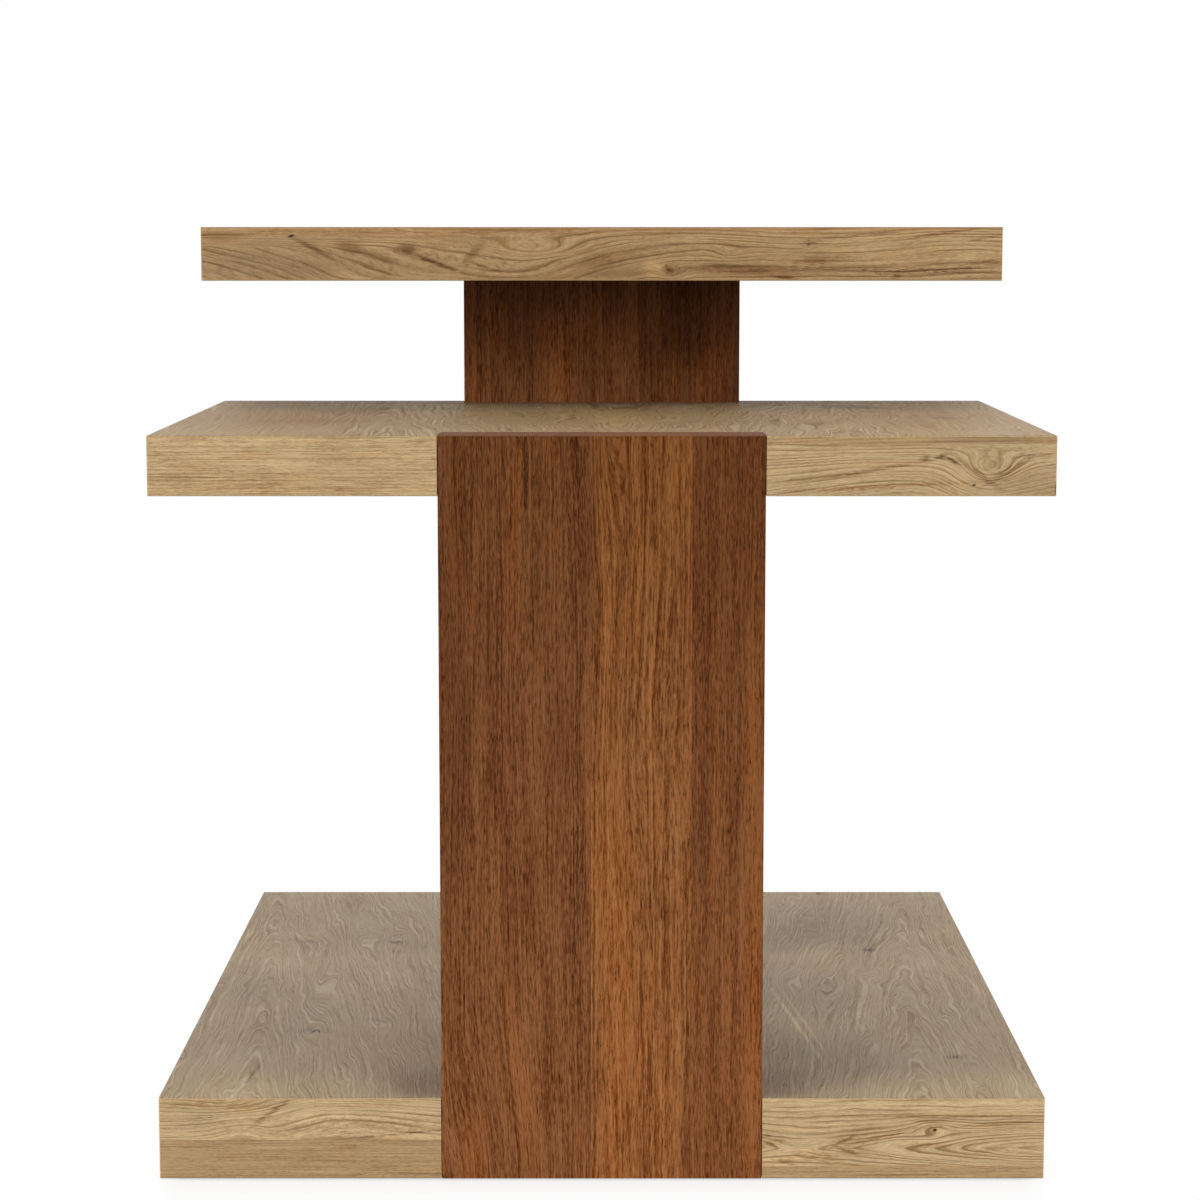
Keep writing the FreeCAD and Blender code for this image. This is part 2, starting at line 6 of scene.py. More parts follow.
import bpy
from bpy.props import FloatProperty, FloatVectorProperty, IntProperty, PointerProperty
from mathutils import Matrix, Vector

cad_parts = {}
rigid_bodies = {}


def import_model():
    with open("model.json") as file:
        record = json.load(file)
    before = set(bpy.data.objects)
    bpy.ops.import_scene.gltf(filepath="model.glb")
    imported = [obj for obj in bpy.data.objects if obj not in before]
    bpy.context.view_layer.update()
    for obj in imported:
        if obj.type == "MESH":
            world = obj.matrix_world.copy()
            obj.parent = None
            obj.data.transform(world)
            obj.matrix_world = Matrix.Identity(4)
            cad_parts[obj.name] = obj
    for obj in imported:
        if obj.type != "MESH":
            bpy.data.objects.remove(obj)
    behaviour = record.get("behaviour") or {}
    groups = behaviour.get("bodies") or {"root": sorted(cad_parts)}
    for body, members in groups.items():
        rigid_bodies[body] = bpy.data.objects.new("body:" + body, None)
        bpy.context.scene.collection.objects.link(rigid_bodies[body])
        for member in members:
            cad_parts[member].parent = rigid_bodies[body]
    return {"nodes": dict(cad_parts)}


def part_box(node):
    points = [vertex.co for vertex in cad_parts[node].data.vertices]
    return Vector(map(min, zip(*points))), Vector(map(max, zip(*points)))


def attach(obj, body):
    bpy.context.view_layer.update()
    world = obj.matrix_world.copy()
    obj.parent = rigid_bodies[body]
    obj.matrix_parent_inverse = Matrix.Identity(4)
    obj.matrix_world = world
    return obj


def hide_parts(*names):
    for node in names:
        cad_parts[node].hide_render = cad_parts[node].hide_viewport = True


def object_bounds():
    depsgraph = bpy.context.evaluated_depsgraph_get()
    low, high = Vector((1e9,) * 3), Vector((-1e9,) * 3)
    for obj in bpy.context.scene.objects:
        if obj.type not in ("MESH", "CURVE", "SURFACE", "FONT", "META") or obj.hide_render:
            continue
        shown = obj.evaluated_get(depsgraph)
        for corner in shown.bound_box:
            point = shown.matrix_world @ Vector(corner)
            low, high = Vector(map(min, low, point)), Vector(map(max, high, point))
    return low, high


bl_info = {
    "name": "Stepped occasional table",
    "version": (1, 0, 0),
    "blender": (4, 5, 0),
    "location": "3D View > Sidebar > Table",
    "description": "Finishes for the oak slabs, dark columns and fittings of a stepped side table",
    "category": "Object",
}

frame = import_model()
NODES = frame["nodes"]
CAD_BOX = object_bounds()

SENSOR = 36.0
MILLIMETRES = 1000.0
QUARTER_TURN = math.pi / 2
ORIGIN = (0, 0, 0)
NEAR = 1e-6  # metres; two points this near are one
SMOOTH_BELOW = math.radians(35)
WHITE = (1, 1, 1)
BUMP_STRENGTH = 0.6


def tint(red, green, blue):
    """Linear colour of an 8-bit display colour, by the usual display curve."""
    def linear(value):
        part = value / 255.0
        return part / 12.92 if part <= 0.04045 else ((part + 0.055) / 1.055) ** 2.4
    return (linear(red), linear(green), linear(blue))


def scaled(colour, *weights):
    """A colour with each part times its weight."""
    return tuple(part * weight for part, weight in zip(colour, weights))


def tones(middle, depth, lift=(0.38, 0.50, 0.62), drop=(0.64, 0.73, 0.86)):
    """Light, middle and dark wood colours round a usual tone; depth is the contrast."""
    light = scaled(middle, *(1.0 + depth * weight for weight in lift))
    dark = scaled(middle, *(1.0 - depth * weight for weight in drop))
    return {"light": tuple(min(1.0, part) for part in light), "middle": tuple(middle),
            "dark": dark}


# ---- settings ----


def colour_setting(name, description, rgb):
    return FloatVectorProperty(name=name, description=description, subtype="COLOR", size=3,
                               min=0.0, max=1.0, default=tint(*rgb))


def length_setting(name, description, default, low=0.0, high=1.0):
    return FloatProperty(name=name, description=description, default=default, min=low, max=high,
                         unit="LENGTH", subtype="DISTANCE", precision=5)


def share_setting(name, description, default, high=1.0):
    return FloatProperty(name=name, description=description, default=default, min=0.0, max=high,
                         subtype="FACTOR")


class TableOakSettings(bpy.types.PropertyGroup):
    """Colours and gloss of the pale oak."""

    top_edge: colour_setting("Top edge", "Edges of the top", (184, 151, 107))
    shelf_edge: colour_setting("Shelf edge", "Edges of the shelf", (201, 170, 125))
    base_edge: colour_setting("Base edge", "Upper strips of the base's edges", (211, 181, 136))
    low_strip: colour_setting("Low strip", "Lower strips of the base's edges", (188, 156, 112))
    face: colour_setting("Face", "Veneers of the base and the top", (143, 124, 96))
    shelf_face: colour_setting("Shelf face", "Veneers of the shelf", (143, 121, 89))
    knot: colour_setting("Knot", "Heart of the knots", (62, 42, 26))
    roughness: share_setting("Roughness", "Roughness of the oiled oak", 0.52)
    relief: length_setting("Relief", "Depth of the open pores", 0.00012, high=0.002)


class TableColumnSettings(bpy.types.PropertyGroup):
    """Colours and gloss of the dark stained columns."""

    left: colour_setting("Left stave", "Usual tone of the left stave", (124, 77, 44))
    centre: colour_setting("Centre stave", "Usual tone of the centre stave", (148, 93, 51))
    right: colour_setting("Right stave", "Usual tone of the right stave", (128, 78, 43))
    rear: colour_setting("Rear column", "Usual tone of the rear staves", (128, 79, 45))
    pore: colour_setting("Pores", "Stain gathered in the pores", (60, 29, 9))
    # End grain: the staves' sawn ends, painted paler and greyer as sheen from the top light.
    end_grain_and_sheen: colour_setting("End grain", "Sawn ends of the staves", (107, 77, 57))
    roughness: share_setting("Roughness", "Roughness of the stained oak", 0.55)
    relief: length_setting("Relief", "Depth of the open pores", 0.00015, high=0.002)


class TableFittingSettings(bpy.types.PropertyGroup):
    """Sizes and colours of the hidden fittings and the pads."""

    board: colour_setting("Core board", "Chips of the core boards", (190, 160, 118))
    beech: colour_setting("Beech", "Dowels", (214, 176, 130))
    zinc: colour_setting("Zinc", "Plated screws", (196, 198, 202))
    coat: colour_setting("Black coat", "Powder coat of the plate", (24, 24, 25))
    felt: colour_setting("Felt", "Pads under the base", (92, 84, 76))
    screw_thread: length_setting("Thread pitch", "Rise of the screw threads in a turn", 0.0028,
                                 0.0005, 0.01)
    dowel_flutes: IntProperty(name="Dowel flutes", description="Grooves round a dowel",
                              default=16, min=6, max=40)
    dowel_chamfer: length_setting("Dowel chamfer", "Chamfer at the ends of a dowel", 0.001,
                                  high=0.003)
    pad_width: length_setting("Pad width", "Diameter of a felt pad", 0.030, 0.01, 0.06)
    felt_round: length_setting("Felt rounding", "Soft edge of the felt pads", 0.0005, high=0.0007)


class TableStageSettings(bpy.types.PropertyGroup):
    """Camera, floor and light."""

    focal: FloatProperty(name="Focal length", description="Lens on a 36 mm wide sensor",
                         default=88.924, min=10.0, max=300.0)
    camera_back: length_setting("Camera distance", "Camera in front of the table's front",
                                1.8515, high=10.0)
    camera_height: length_setting("Camera height", "Camera above the floor", 0.6070, high=5.0)
    camera_tilt: FloatProperty(name="Camera tilt", description="Downward tilt of the camera",
                               default=0.12331, min=-1.5, max=1.5, subtype="ANGLE")
    camera_shift: FloatProperty(name="Camera shift", description="Sideways shift of the frame",
                                default=-0.001437, min=-0.1, max=0.1, precision=6)
    key_level: share_setting("Key light", "Level of the soft box in front and above", 0.19, 4.0)
    top_level: share_setting("Top light", "Level of the soft box overhead", 0.41, 4.0)
    left_level: share_setting("Left light", "Level of the soft box at the left", 0.56, 4.0)
    right_level: share_setting("Right light", "Level of the soft box at the right", 0.45, 4.0)
    back_level: share_setting("Back light", "Level of the soft box behind", 0.76, 4.0)
    ambient: share_setting("Ambient", "Level of the even light from all round", 0.008, 2.0)
    contact_white: share_setting("Contact white", "Floor's white beside the base, in its shadow",
                                 0.72)
    shadow_white: share_setting("Shadow white", "Floor's white in the wider shadow", 0.93)


# ---- node helpers ----


class Graph:
    """Adds nodes to one tree and joins them."""

    def __init__(self, tree):
        self.tree = tree

    def feed(self, socket, value):
        if isinstance(value, bpy.types.NodeSocket):
            self.tree.links.new(value, socket)
        elif socket.type == "RGBA":
            socket.default_value = (*value[:3], 1.0)
        else:
            socket.default_value = value

    def add(self, kind, inputs=None, **settings):
        node = self.tree.nodes.new("ShaderNode" + kind)
        for name, value in settings.items():
            setattr(node, name, value)
        for key, value in (inputs or {}).items():
            self.feed(node.inputs[key], value)
        return node

    def math(self, operation, *values, clamp=False):
        return self.add("Math", dict(enumerate(values)), operation=operation,
                        use_clamp=clamp).outputs[0]

    def times(self, first, second):
        return self.math("MULTIPLY", first, second)

    def plus(self, base, value, weight):
        """The base with the value added to it, times its weight."""
        return self.math("MULTIPLY_ADD", value, weight, base)

    def sway(self, base, noise, weight):
        """The base, moved up and down by a noise round its middle."""
        return self.plus(base, self.math("SUBTRACT", noise, 0.5), weight)

    def vector(self, operation, *values):
        outputs = self.add("VectorMath", dict(enumerate(values)), operation=operation).outputs
        return outputs["Value"] if operation == "LENGTH" else outputs[0]

    def split(self, vector):
        return self.add("SeparateXYZ", {"Vector": vector}).outputs

    def join(self, x, y, z):
        return self.add("CombineXYZ", {"X": x, "Y": y, "Z": z}).outputs[0]

    def step(self, value, low, high, low_out=0, high_out=1, kind="SMOOTHSTEP"):
        """Rise of value from low to high, smooth unless kind says LINEAR."""
        limits = dict(enumerate((value, low, high, low_out, high_out)))
        return self.add("MapRange", limits, interpolation_type=kind).outputs[0]

    def noise(self, vector, detail=2.0, roughness=0.5, scale=1.0):
        return self.add("TexNoise", {"Vector": vector, "Scale": scale, "Detail": detail,
                                     "Roughness": roughness}).outputs[0]

    def stretched(self, place, size, shift, detail, roughness):
        """Noise drawn out to a size along each axis, in its own part of the pattern."""
        return self.noise(self.vector("ADD", self.vector("DIVIDE", place, size), shift),
                          detail, roughness)

    def mix(self, share, first, second, blend="MIX"):
        return self.add("Mix", {0: share, 6: first, 7: second}, data_type="RGBA",
                        blend_type=blend).outputs[2]

    def facing_up(self, here):
        """1 where the surface faces straight up or down, 0 where it is upright."""
        return self.math("ABSOLUTE", self.split(here["Normal"])[2])

    def dyed(self, share, colour, dye):
        """The colour, multiplied by the dye where the share says so."""
        return self.mix(share, colour, self.mix(1, colour, dye, "MULTIPLY"))


def new_group(name, inputs, outputs):
    """Empty node group with sockets of each kind; returns the group, its graph and both ends."""
    tree = bpy.data.node_groups.new(name, "ShaderNodeTree")
    for side, kinds in (("INPUT", inputs), ("OUTPUT", outputs)):
        for kind, labels in kinds.items():
            for label in labels:
                tree.interface.new_socket(name=label, in_out=side,
                                          socket_type="NodeSocket" + kind)
    start = tree.nodes.new("NodeGroupInput").outputs
    end = tree.nodes.new("NodeGroupOutput").inputs
    return tree, Graph(tree), start, end


def blank_material(name):
    """New material with no nodes, its graph, its coordinates, and its place in millimetres."""
    made = bpy.data.materials.new(name)
    made.use_nodes = True
    made.node_tree.nodes.clear()
    g = Graph(made.node_tree)
    here = g.add("TexCoord").outputs
    return made, g, here, g.vector("MULTIPLY", here["Object"], (MILLIMETRES,) * 3)


def finish_material(g, colour, roughness, height, relief, **levels):
    """Joins colour, roughness and relief to a shader, whose levels are the same all over."""
    bump = g.add("Bump", {"Height": height, "Strength": BUMP_STRENGTH, "Distance": relief})
    shader = g.add("BsdfPrincipled", {"Base Color": colour, "Roughness": roughness,
                                      "Normal": bump.outputs[0]})
    sockets = {"ior": "IOR", "gloss": "Specular IOR Level", "metal": "Metallic"}
    for name, level in levels.items():
        shader.inputs[sockets[name]].default_value = level
    g.add("OutputMaterial", {"Surface": shader.outputs[0]})


def swell_group():
    """Grain lines that bend round one place, or spread apart there."""
    tree, g, start, end = new_group(
        "Grain swell",
        {"Vector": ("Grain", "Where", "Place"),
         "Float": ("Behind", "Ahead", "Across", "Height", "Spread")},
        {"Vector": ("Grain",)})
    along, across, _ = g.split(g.vector("SUBTRACT", start["Where"], start["Place"]))
    ahead = g.math("DIVIDE", g.math("MAXIMUM", along, 0), start["Ahead"])
    behind = g.math("DIVIDE", g.math("MINIMUM", along, 0), start["Behind"])
    reach = g.math("ADD", ahead, behind)
    side = g.math("DIVIDE", across, start["Across"])
    near = g.math("EXPONENT", g.times(g.plus(g.times(side, side), reach, reach), -1))
    lift = g.math("SUBTRACT", start["Height"], g.times(across, start["Spread"]))
    length, width, depth = g.split(start["Grain"])
    g.feed(end["Grain"], g.join(length, g.plus(width, near, lift), depth))
    return tree


def spot_group():
    """Ragged oval: a hard heart, and a soft rim that reaches further."""
    tree, g, start, end = new_group(
        "Ragged spot",
        {"Vector": ("Where", "Place", "Size"), "Float": ("Lean", "Ragged")},
        {"Float": ("Heart", "Rim")})
    along, across, _ = g.split(g.vector("SUBTRACT", start["Where"], start["Place"]))
    across = g.math("SUBTRACT", across, g.times(along, start["Lean"]))
    flat = g.vector("DIVIDE", g.join(along, across, 0), start["Size"])
    wobble = g.noise(g.vector("ADD", g.vector("MULTIPLY", flat, (0.8, 0.8, 0.8)),
                              start["Place"]), 3, 0.6)
    streak = g.noise(g.vector("DIVIDE", start["Where"], (7, 0.8, 3)), 2, 0.6)
    radius = g.vector("LENGTH", flat)
    for ragged in (wobble, streak):
        radius = g.sway(radius, ragged, start["Ragged"])
    g.feed(end["Heart"], g.step(radius, 1.1, 0.6))
    g.feed(end["Rim"], g.step(radius, 1.6, 0.2))
    return tree


WOOD_SIZES = ("Line size", "Fibre size", "Pore size", "Cloud size", "Hue size")
WOOD_LEVELS = ("Pitch", "Wander", "Rings", "Glow", "Lines", "Fibres", "Clouds", "Bands", "Pores",
               "Pore share", "Ticks", "Hues")
WOOD_COLOURS = ("Light", "Middle", "Dark", "Warm", "Cool", "Pore colour")


def wood_group():
    """Growth rings, lines, fibres, pores and clouds of planed wood along a bent grain."""
    tree, g, start, end = new_group(
        "Planed wood",
        {"Vector": ("Grain", "Seed", *WOOD_SIZES), "Float": WOOD_LEVELS, "Color": WOOD_COLOURS},
        {"Color": ("Colour",), "Float": ("Tone", "Pores")})

    def field(size, shift, detail=2, roughness=0.5):
        place = g.vector("ADD", g.vector("DIVIDE", start["Grain"], size), start["Seed"])
        place = g.vector("ADD", place, (shift, shift * 1.7, shift * 0.6))
        return g.noise(place, detail, roughness)

    lines = field(start["Line size"], 0, 3, 0.62)
    bands = field(g.vector("MULTIPLY", start["Line size"], (1.6, 5, 5)), 7.3)
    fibres = field(start["Fibre size"], 13.1, 2, 0.6)
    pores = field(start["Pore size"], 21.7, 1)
    clouds = field(start["Cloud size"], 33.9)
    hues = field(start["Hue size"], 47.3)
    ticks = field(g.vector("MULTIPLY", start["Pore size"], (2.6, 2.4, 2.4)), 61.3, 1)

    along, across, _ = g.split(start["Grain"])

    def slow_change(stretch, ring, weight, level):
        place = g.join(g.times(along, stretch), g.times(ring, weight), level)
        return g.noise(g.vector("ADD", place, start["Seed"]), 2, 0.6)

    phase = g.math("DIVIDE", across, start["Pitch"])
    phase = g.sway(phase, slow_change(0.0022, phase, 0.31, 0), start["Wander"])
    number, part = g.math("FLOOR", phase), g.math("FRACT", phase)
    power = g.step(slow_change(0.016, number, 0.77, 3), 0.32, 0.66)

    def ring_line(rise, fall, faint):
        line = g.times(g.times(g.step(part, *rise), g.step(part, *fall)), power)
        return g.times(line, g.step(fibres, 0.3, 0.6, faint, 1.2))

    dark_line = ring_line((0, 0.12), (0.5, 0.12), 0.45)
    pale_line = ring_line((0.62, 0.76), (0.98, 0.8), 0.5)
    tone = g.plus(0.5, dark_line, g.times(start["Rings"], -1))
    tone = g.plus(tone, pale_line, start["Glow"])
    for value, strength in ((lines, "Lines"), (bands, "Bands"), (fibres, "Fibres"),
                            (clouds, "Clouds")):
        tone = g.sway(tone, value, start[strength])

    colour = g.mix(g.step(tone, 0.5, 1, kind="LINEAR"), start["Middle"], start["Light"])
    colour = g.mix(g.step(tone, 0.5, 0, kind="LINEAR"), colour, start["Dark"])
    for dye, limit in (("Warm", 0.72), ("Cool", 0.28)):
        share = g.math("MULTIPLY", g.step(hues, 0.5, limit), start["Hues"], clamp=True)
        colour = g.dyed(share, colour, start[dye])
    limit = g.math("SUBTRACT", 1, start["Pore share"])
    holes = g.times(g.step(pores, limit, g.math("ADD", limit, 0.1)), g.step(tone, 0.75, 0.35))
    share = g.math("MULTIPLY", holes, start["Pores"], clamp=True)
    colour = g.mix(share, colour, start["Pore colour"])
    dark_ticks = g.times(g.step(ticks, 0.63, 0.7), start["Ticks"])
    pale_ticks = g.times(g.step(ticks, 0.38, 0.31), start["Ticks"])
    colour = g.mix(dark_ticks, colour, start["Pore colour"])
    colour = g.mix(g.times(pale_ticks, 0.6), colour, start["Light"])
    for label, value in (("Colour", colour), ("Tone", tone), ("Pores", holes)):
        g.feed(end[label], value)
    return tree


# Which of a place's x, y and z run along the grain, across it, and into the wood.
AXES = {"X": (0, 2, 1), "Y": (1, 0, 2), "Y side": (1, 2, 0), "Z": (2, 0, 1)}
# How many values a row of each kind has, and the last ones where a row leaves them out.
ROWS = {"swells": (7, (0,)), "stains": (10, (0.9, 0)), "tints": (9, (1, 0))}
# Bends of the grain, in millimetres.
STAVE_CLIMB = 0.9               # of the grain for each millimetre behind a stave's face
SLANT_BEND = 30                 # over which a slant begins
SQUEEZE_REACH = (-70, 30)       # from a slant's end, over which its lines close up
FAN_START = 300                 # from the middle, where a fan has no effect
FOLD_SHIFT = 50                 # into the wood, so that a fold's two sides differ
PATCH_SIZE = (120, 60, 60)      # of the patches that have whorls
WAVE_DETAIL, WHORL_DETAIL, WAVE_ROUGHNESS = 1.5, 1, 0.45
# Marks on the wood: how ragged the soft ones are, and how strong the parts of the others.
CALM_RAGGED, TINT_RAGGED = 0.6, 0.35
STAIN_ON_PALE, KNOT_RIM, KNOT_RELIEF = 0.3, 0.4, 0.6
# What the tone and the open pores do to roughness and relief.
TONE_ROUGHNESS, PORE_ROUGHNESS, TONE_RELIEF, PORE_RELIEF = -0.12, 0.2, 0.35, -1
WOOD_IOR = 1.45


def full_rows(recipe, kind):
    """A recipe's rows of one kind, each with all its values."""
    size, usual = ROWS[kind]
    return [(*row, *usual[len(usual) - size + len(row):]) for row in recipe.get(kind, ())]


class Woodwork:
    """Makes the wood materials from recipes, with the pattern groups that they share."""

    def __init__(self):
        self.swell = swell_group()
        self.spot = spot_group()
        self.wood = wood_group()

    def spotted(self, g, where, along, across, long, wide, lean, ragged):
        return g.add("Group", {"Where": where, "Place": (along, across, 0),
                               "Size": (long, wide, 1), "Lean": lean, "Ragged": ragged},
                     node_tree=self.spot).outputs

    def bent_grain(self, g, recipe, where, along, level, depth):
        """The grain's own coordinates: straight at first, then bent by all that the recipe has."""
        seed, across = recipe["seed"], level
        if "front" in recipe:
            across = g.plus(across, g.math("SUBTRACT", depth, recipe["front"]), STAVE_CLIMB)
        for end, slope, top, soft, spacing in recipe.get("slants", ()):
            run = g.math("SMOOTH_MIN", g.math("SUBTRACT", along, end), 0, SLANT_BEND)
            across = g.plus(across, g.times(run, g.step(level, top, top - soft)), slope)
            squeeze = g.step(along, *(end + reach for reach in SQUEEZE_REACH), spacing - 1, 0)
            across = g.plus(across, g.math("SUBTRACT", across, top), squeeze)
        if "fan" in recipe:
            across = g.times(across, g.plus(1, g.math("ADD", along, FAN_START), -recipe["fan"]))
        for axis, tip in recipe.get("folds", ()):
            side = g.math("SUBTRACT", across, axis)
            depth = g.plus(depth, g.step(side, -1, 1), FOLD_SHIFT)
            across = g.math("SUBTRACT", axis, g.math("SQRT", g.plus(tip * tip, side, side)))
        if "slope" in recipe:
            across = g.plus(across, along, recipe["slope"])
        for length, width, height, shift in recipe["waves"]:
            wave = g.stretched(where, (length, width, width), (seed + shift, seed * 0.7, shift),
                               WAVE_DETAIL, WAVE_ROUGHNESS)
            across = g.sway(across, wave, height)
        for length, width, height, shift, low, high in recipe.get("whorls", ()):
            patch = g.stretched(where, PATCH_SIZE, (shift, seed, seed * 0.3), WHORL_DETAIL, 0.5)
            wave = g.stretched(where, (length, width, width), (seed * 0.9 - shift, shift, seed),
                               WHORL_DETAIL, WAVE_ROUGHNESS)
            wave = g.times(g.math("SUBTRACT", wave, 0.5), g.step(patch, low, high))
            across = g.plus(across, wave, height)
        grain = g.join(along, across, depth)
        for place, hill, behind, ahead, reach, height, spread in full_rows(recipe, "swells"):
            grain = g.add("Group", {
                "Grain": grain, "Where": where, "Place": (place, hill, 0), "Behind": behind,
                "Ahead": ahead, "Across": reach, "Height": height, "Spread": spread},
                node_tree=self.swell).outputs["Grain"]
        return grain

    def marked(self, g, recipe, where, colour, tone, relief):
        """The wood's colour and relief with the recipe's calms, stains, tints and knots."""
        for *oval, share in recipe.get("calms", ()):
            rim = self.spotted(g, where, *oval, 0, CALM_RAGGED)["Rim"]
            colour = g.mix(g.times(rim, share), colour, recipe["middle"])
        for *oval, red, green, blue, ragged, share, lean in full_rows(recipe, "stains"):
            rim = self.spotted(g, where, *oval, lean, ragged)["Rim"]
            streaks = g.step(tone, 0.7, 0.35, STAIN_ON_PALE * share, share)
            colour = g.dyed(g.times(rim, streaks), colour, tint(red, green, blue))
        for *oval, red, green, blue, share, lean in full_rows(recipe, "tints"):
            rim = self.spotted(g, where, *oval, lean, TINT_RAGGED)["Rim"]
            colour = g.dyed(g.times(rim, share), colour, tint(red, green, blue))
        for row in recipe.get("knots", ()):
            spot = self.spotted(g, where, *row)
            colour = g.mix(g.times(spot["Rim"], KNOT_RIM), colour, recipe["dark"])
            colour = g.mix(spot["Heart"], colour, recipe["knot_colour"])
            relief = g.math("ADD", relief, g.times(spot["Heart"], KNOT_RELIEF))
        return colour, relief

    def material(self, name, recipe):
        """Planed wood whose grain runs along one axis, with its recipe's figure."""
        made, g, here, millimetres = blank_material(name)
        parts = g.split(millimetres)
        along, level, depth = (parts[i] for i in AXES[recipe["along"]])
        where = g.join(along, level, depth)
        seed = recipe["seed"]
        inputs = {"Grain": self.bent_grain(g, recipe, where, along, level, depth),
                  "Seed": (seed, seed * 1.3, seed * 0.4)}
        for label in (*WOOD_SIZES, *WOOD_LEVELS, *WOOD_COLOURS):
            inputs[label] = recipe[label.lower().replace(" ", "_")]
        wood = g.add("Group", inputs, node_tree=self.wood).outputs
        tone = wood["Tone"]
        colour, relief = self.marked(g, recipe, where, wood["Colour"], tone, wood["Pores"])
        # Painted light and shade: the colour times a level that runs from one place along the grain
        # to another.
        for low, high, low_part, high_part in recipe.get("shade", ()):
            colour = g.vector("MULTIPLY", colour,
                              g.step(along, low, high, low_part, high_part, kind="LINEAR"))
        if "side_colour" in recipe:
            side = g.mix(g.step(tone, 0.2, 0.8), recipe["side_dark"], recipe["side_colour"])
            colour = g.mix(g.step(g.facing_up(here), 0.7, 0.4), colour, side)
        # Faces that face up or down get the end grain's colour, painted paler and greyer as sheen
        # from the top light, speckled with dark.
        if "end_colour" in recipe:
            ends = g.noise(g.vector("DIVIDE", where, (0.9, 0.9, 2.5)), 3, 0.6)
            speckled = g.mix(g.step(ends, 0.35, 0.7), recipe["end_colour"], recipe["dark"])
            colour = g.mix(g.step(g.facing_up(here), 0.35, 0.9), colour, speckled)
        rough = g.sway(recipe["roughness"], tone, TONE_ROUGHNESS)
        rough = g.math("MULTIPLY_ADD", relief, PORE_ROUGHNESS, rough, clamp=True)
        height = g.plus(g.times(tone, TONE_RELIEF), relief, PORE_RELIEF)
        finish_material(g, colour, rough, height, recipe["relief"], ior=WOOD_IOR,
                        gloss=recipe["gloss"])
        return made


def put_on(node, made):
    """Gives a carried-over node its material."""
    shown = NODES[node]
    if not shown.material_slots:
        shown.data.materials.append(made)
    for place in shown.material_slots:
        place.material = made


# ---- recipes ----

# Usual recipes. Sizes are in millimetres, along the grain, across it and into the wood.
# waves, which bend all of the grain: length, width, height, shift of the pattern
# whorls, which bend it in patches: the same, then the limits of the patches
EDGE = {
    "along": "X", "pitch": 2.5, "wander": 3, "rings": 0.5, "glow": 0.2,
    "waves": ((130, 24, 5, 0), (36, 8, 1.6, 5), (9, 3, 0.5, 9)),
    "line_size": (50, 0.9, 4), "fibre_size": (4.5, 0.45, 1), "pore_size": (3, 0.4, 0.8),
    "cloud_size": (34, 9, 14), "hue_size": (50, 7, 10), "lines": 0.8, "fibres": 1.1,
    "clouds": 0.4, "bands": 0.25, "pores": 0.5, "pore_share": 0.42, "ticks": 0, "hues": 0.5,
    "warm": (1.08, 1, 0.9), "cool": (0.94, 0.95, 0.93), "gloss": 0.3}
FACE = {
    **EDGE, "along": "Y", "pitch": 2.8, "wander": 5, "rings": 0.18, "glow": 0.5,
    "waves": ((190, 40, 14, 0), (50, 14, 4, 3), (12, 5, 1.2, 8)),
    "whorls": ((70, 18, 28, 4, 0.52, 0.66),),
    "line_size": (70, 1.2, 9), "fibre_size": (14, 0.6, 2), "pore_size": (10, 0.6, 2),
    "cloud_size": (90, 30, 40), "hue_size": (120, 30, 40), "lines": 0.45, "fibres": 0.9,
    "bands": 0.3, "pores": 0.25, "gloss": 0.45}
STAVE = {
    "along": "Z", "pitch": 3.6, "wander": 4, "rings": 0.3, "glow": 0.25,
    "waves": ((220, 34, 7, 0), (60, 11, 2.2, 5), (12, 4, 0.5, 9)),
    "line_size": (70, 1.5, 5), "fibre_size": (6.5, 0.72, 1.5), "pore_size": (4.8, 0.5, 1.1),
    "cloud_size": (70, 8, 18), "hue_size": (150, 10, 20), "lines": 1.1, "fibres": 2.15,
    "clouds": 0.6, "bands": 0.6, "pores": 0.95, "pore_share": 0.38, "ticks": 0.6, "hues": 0.9,
    "warm": (1.14, 1.06, 0.9), "cool": (0.9, 0.83, 0.83), "gloss": 0.07}
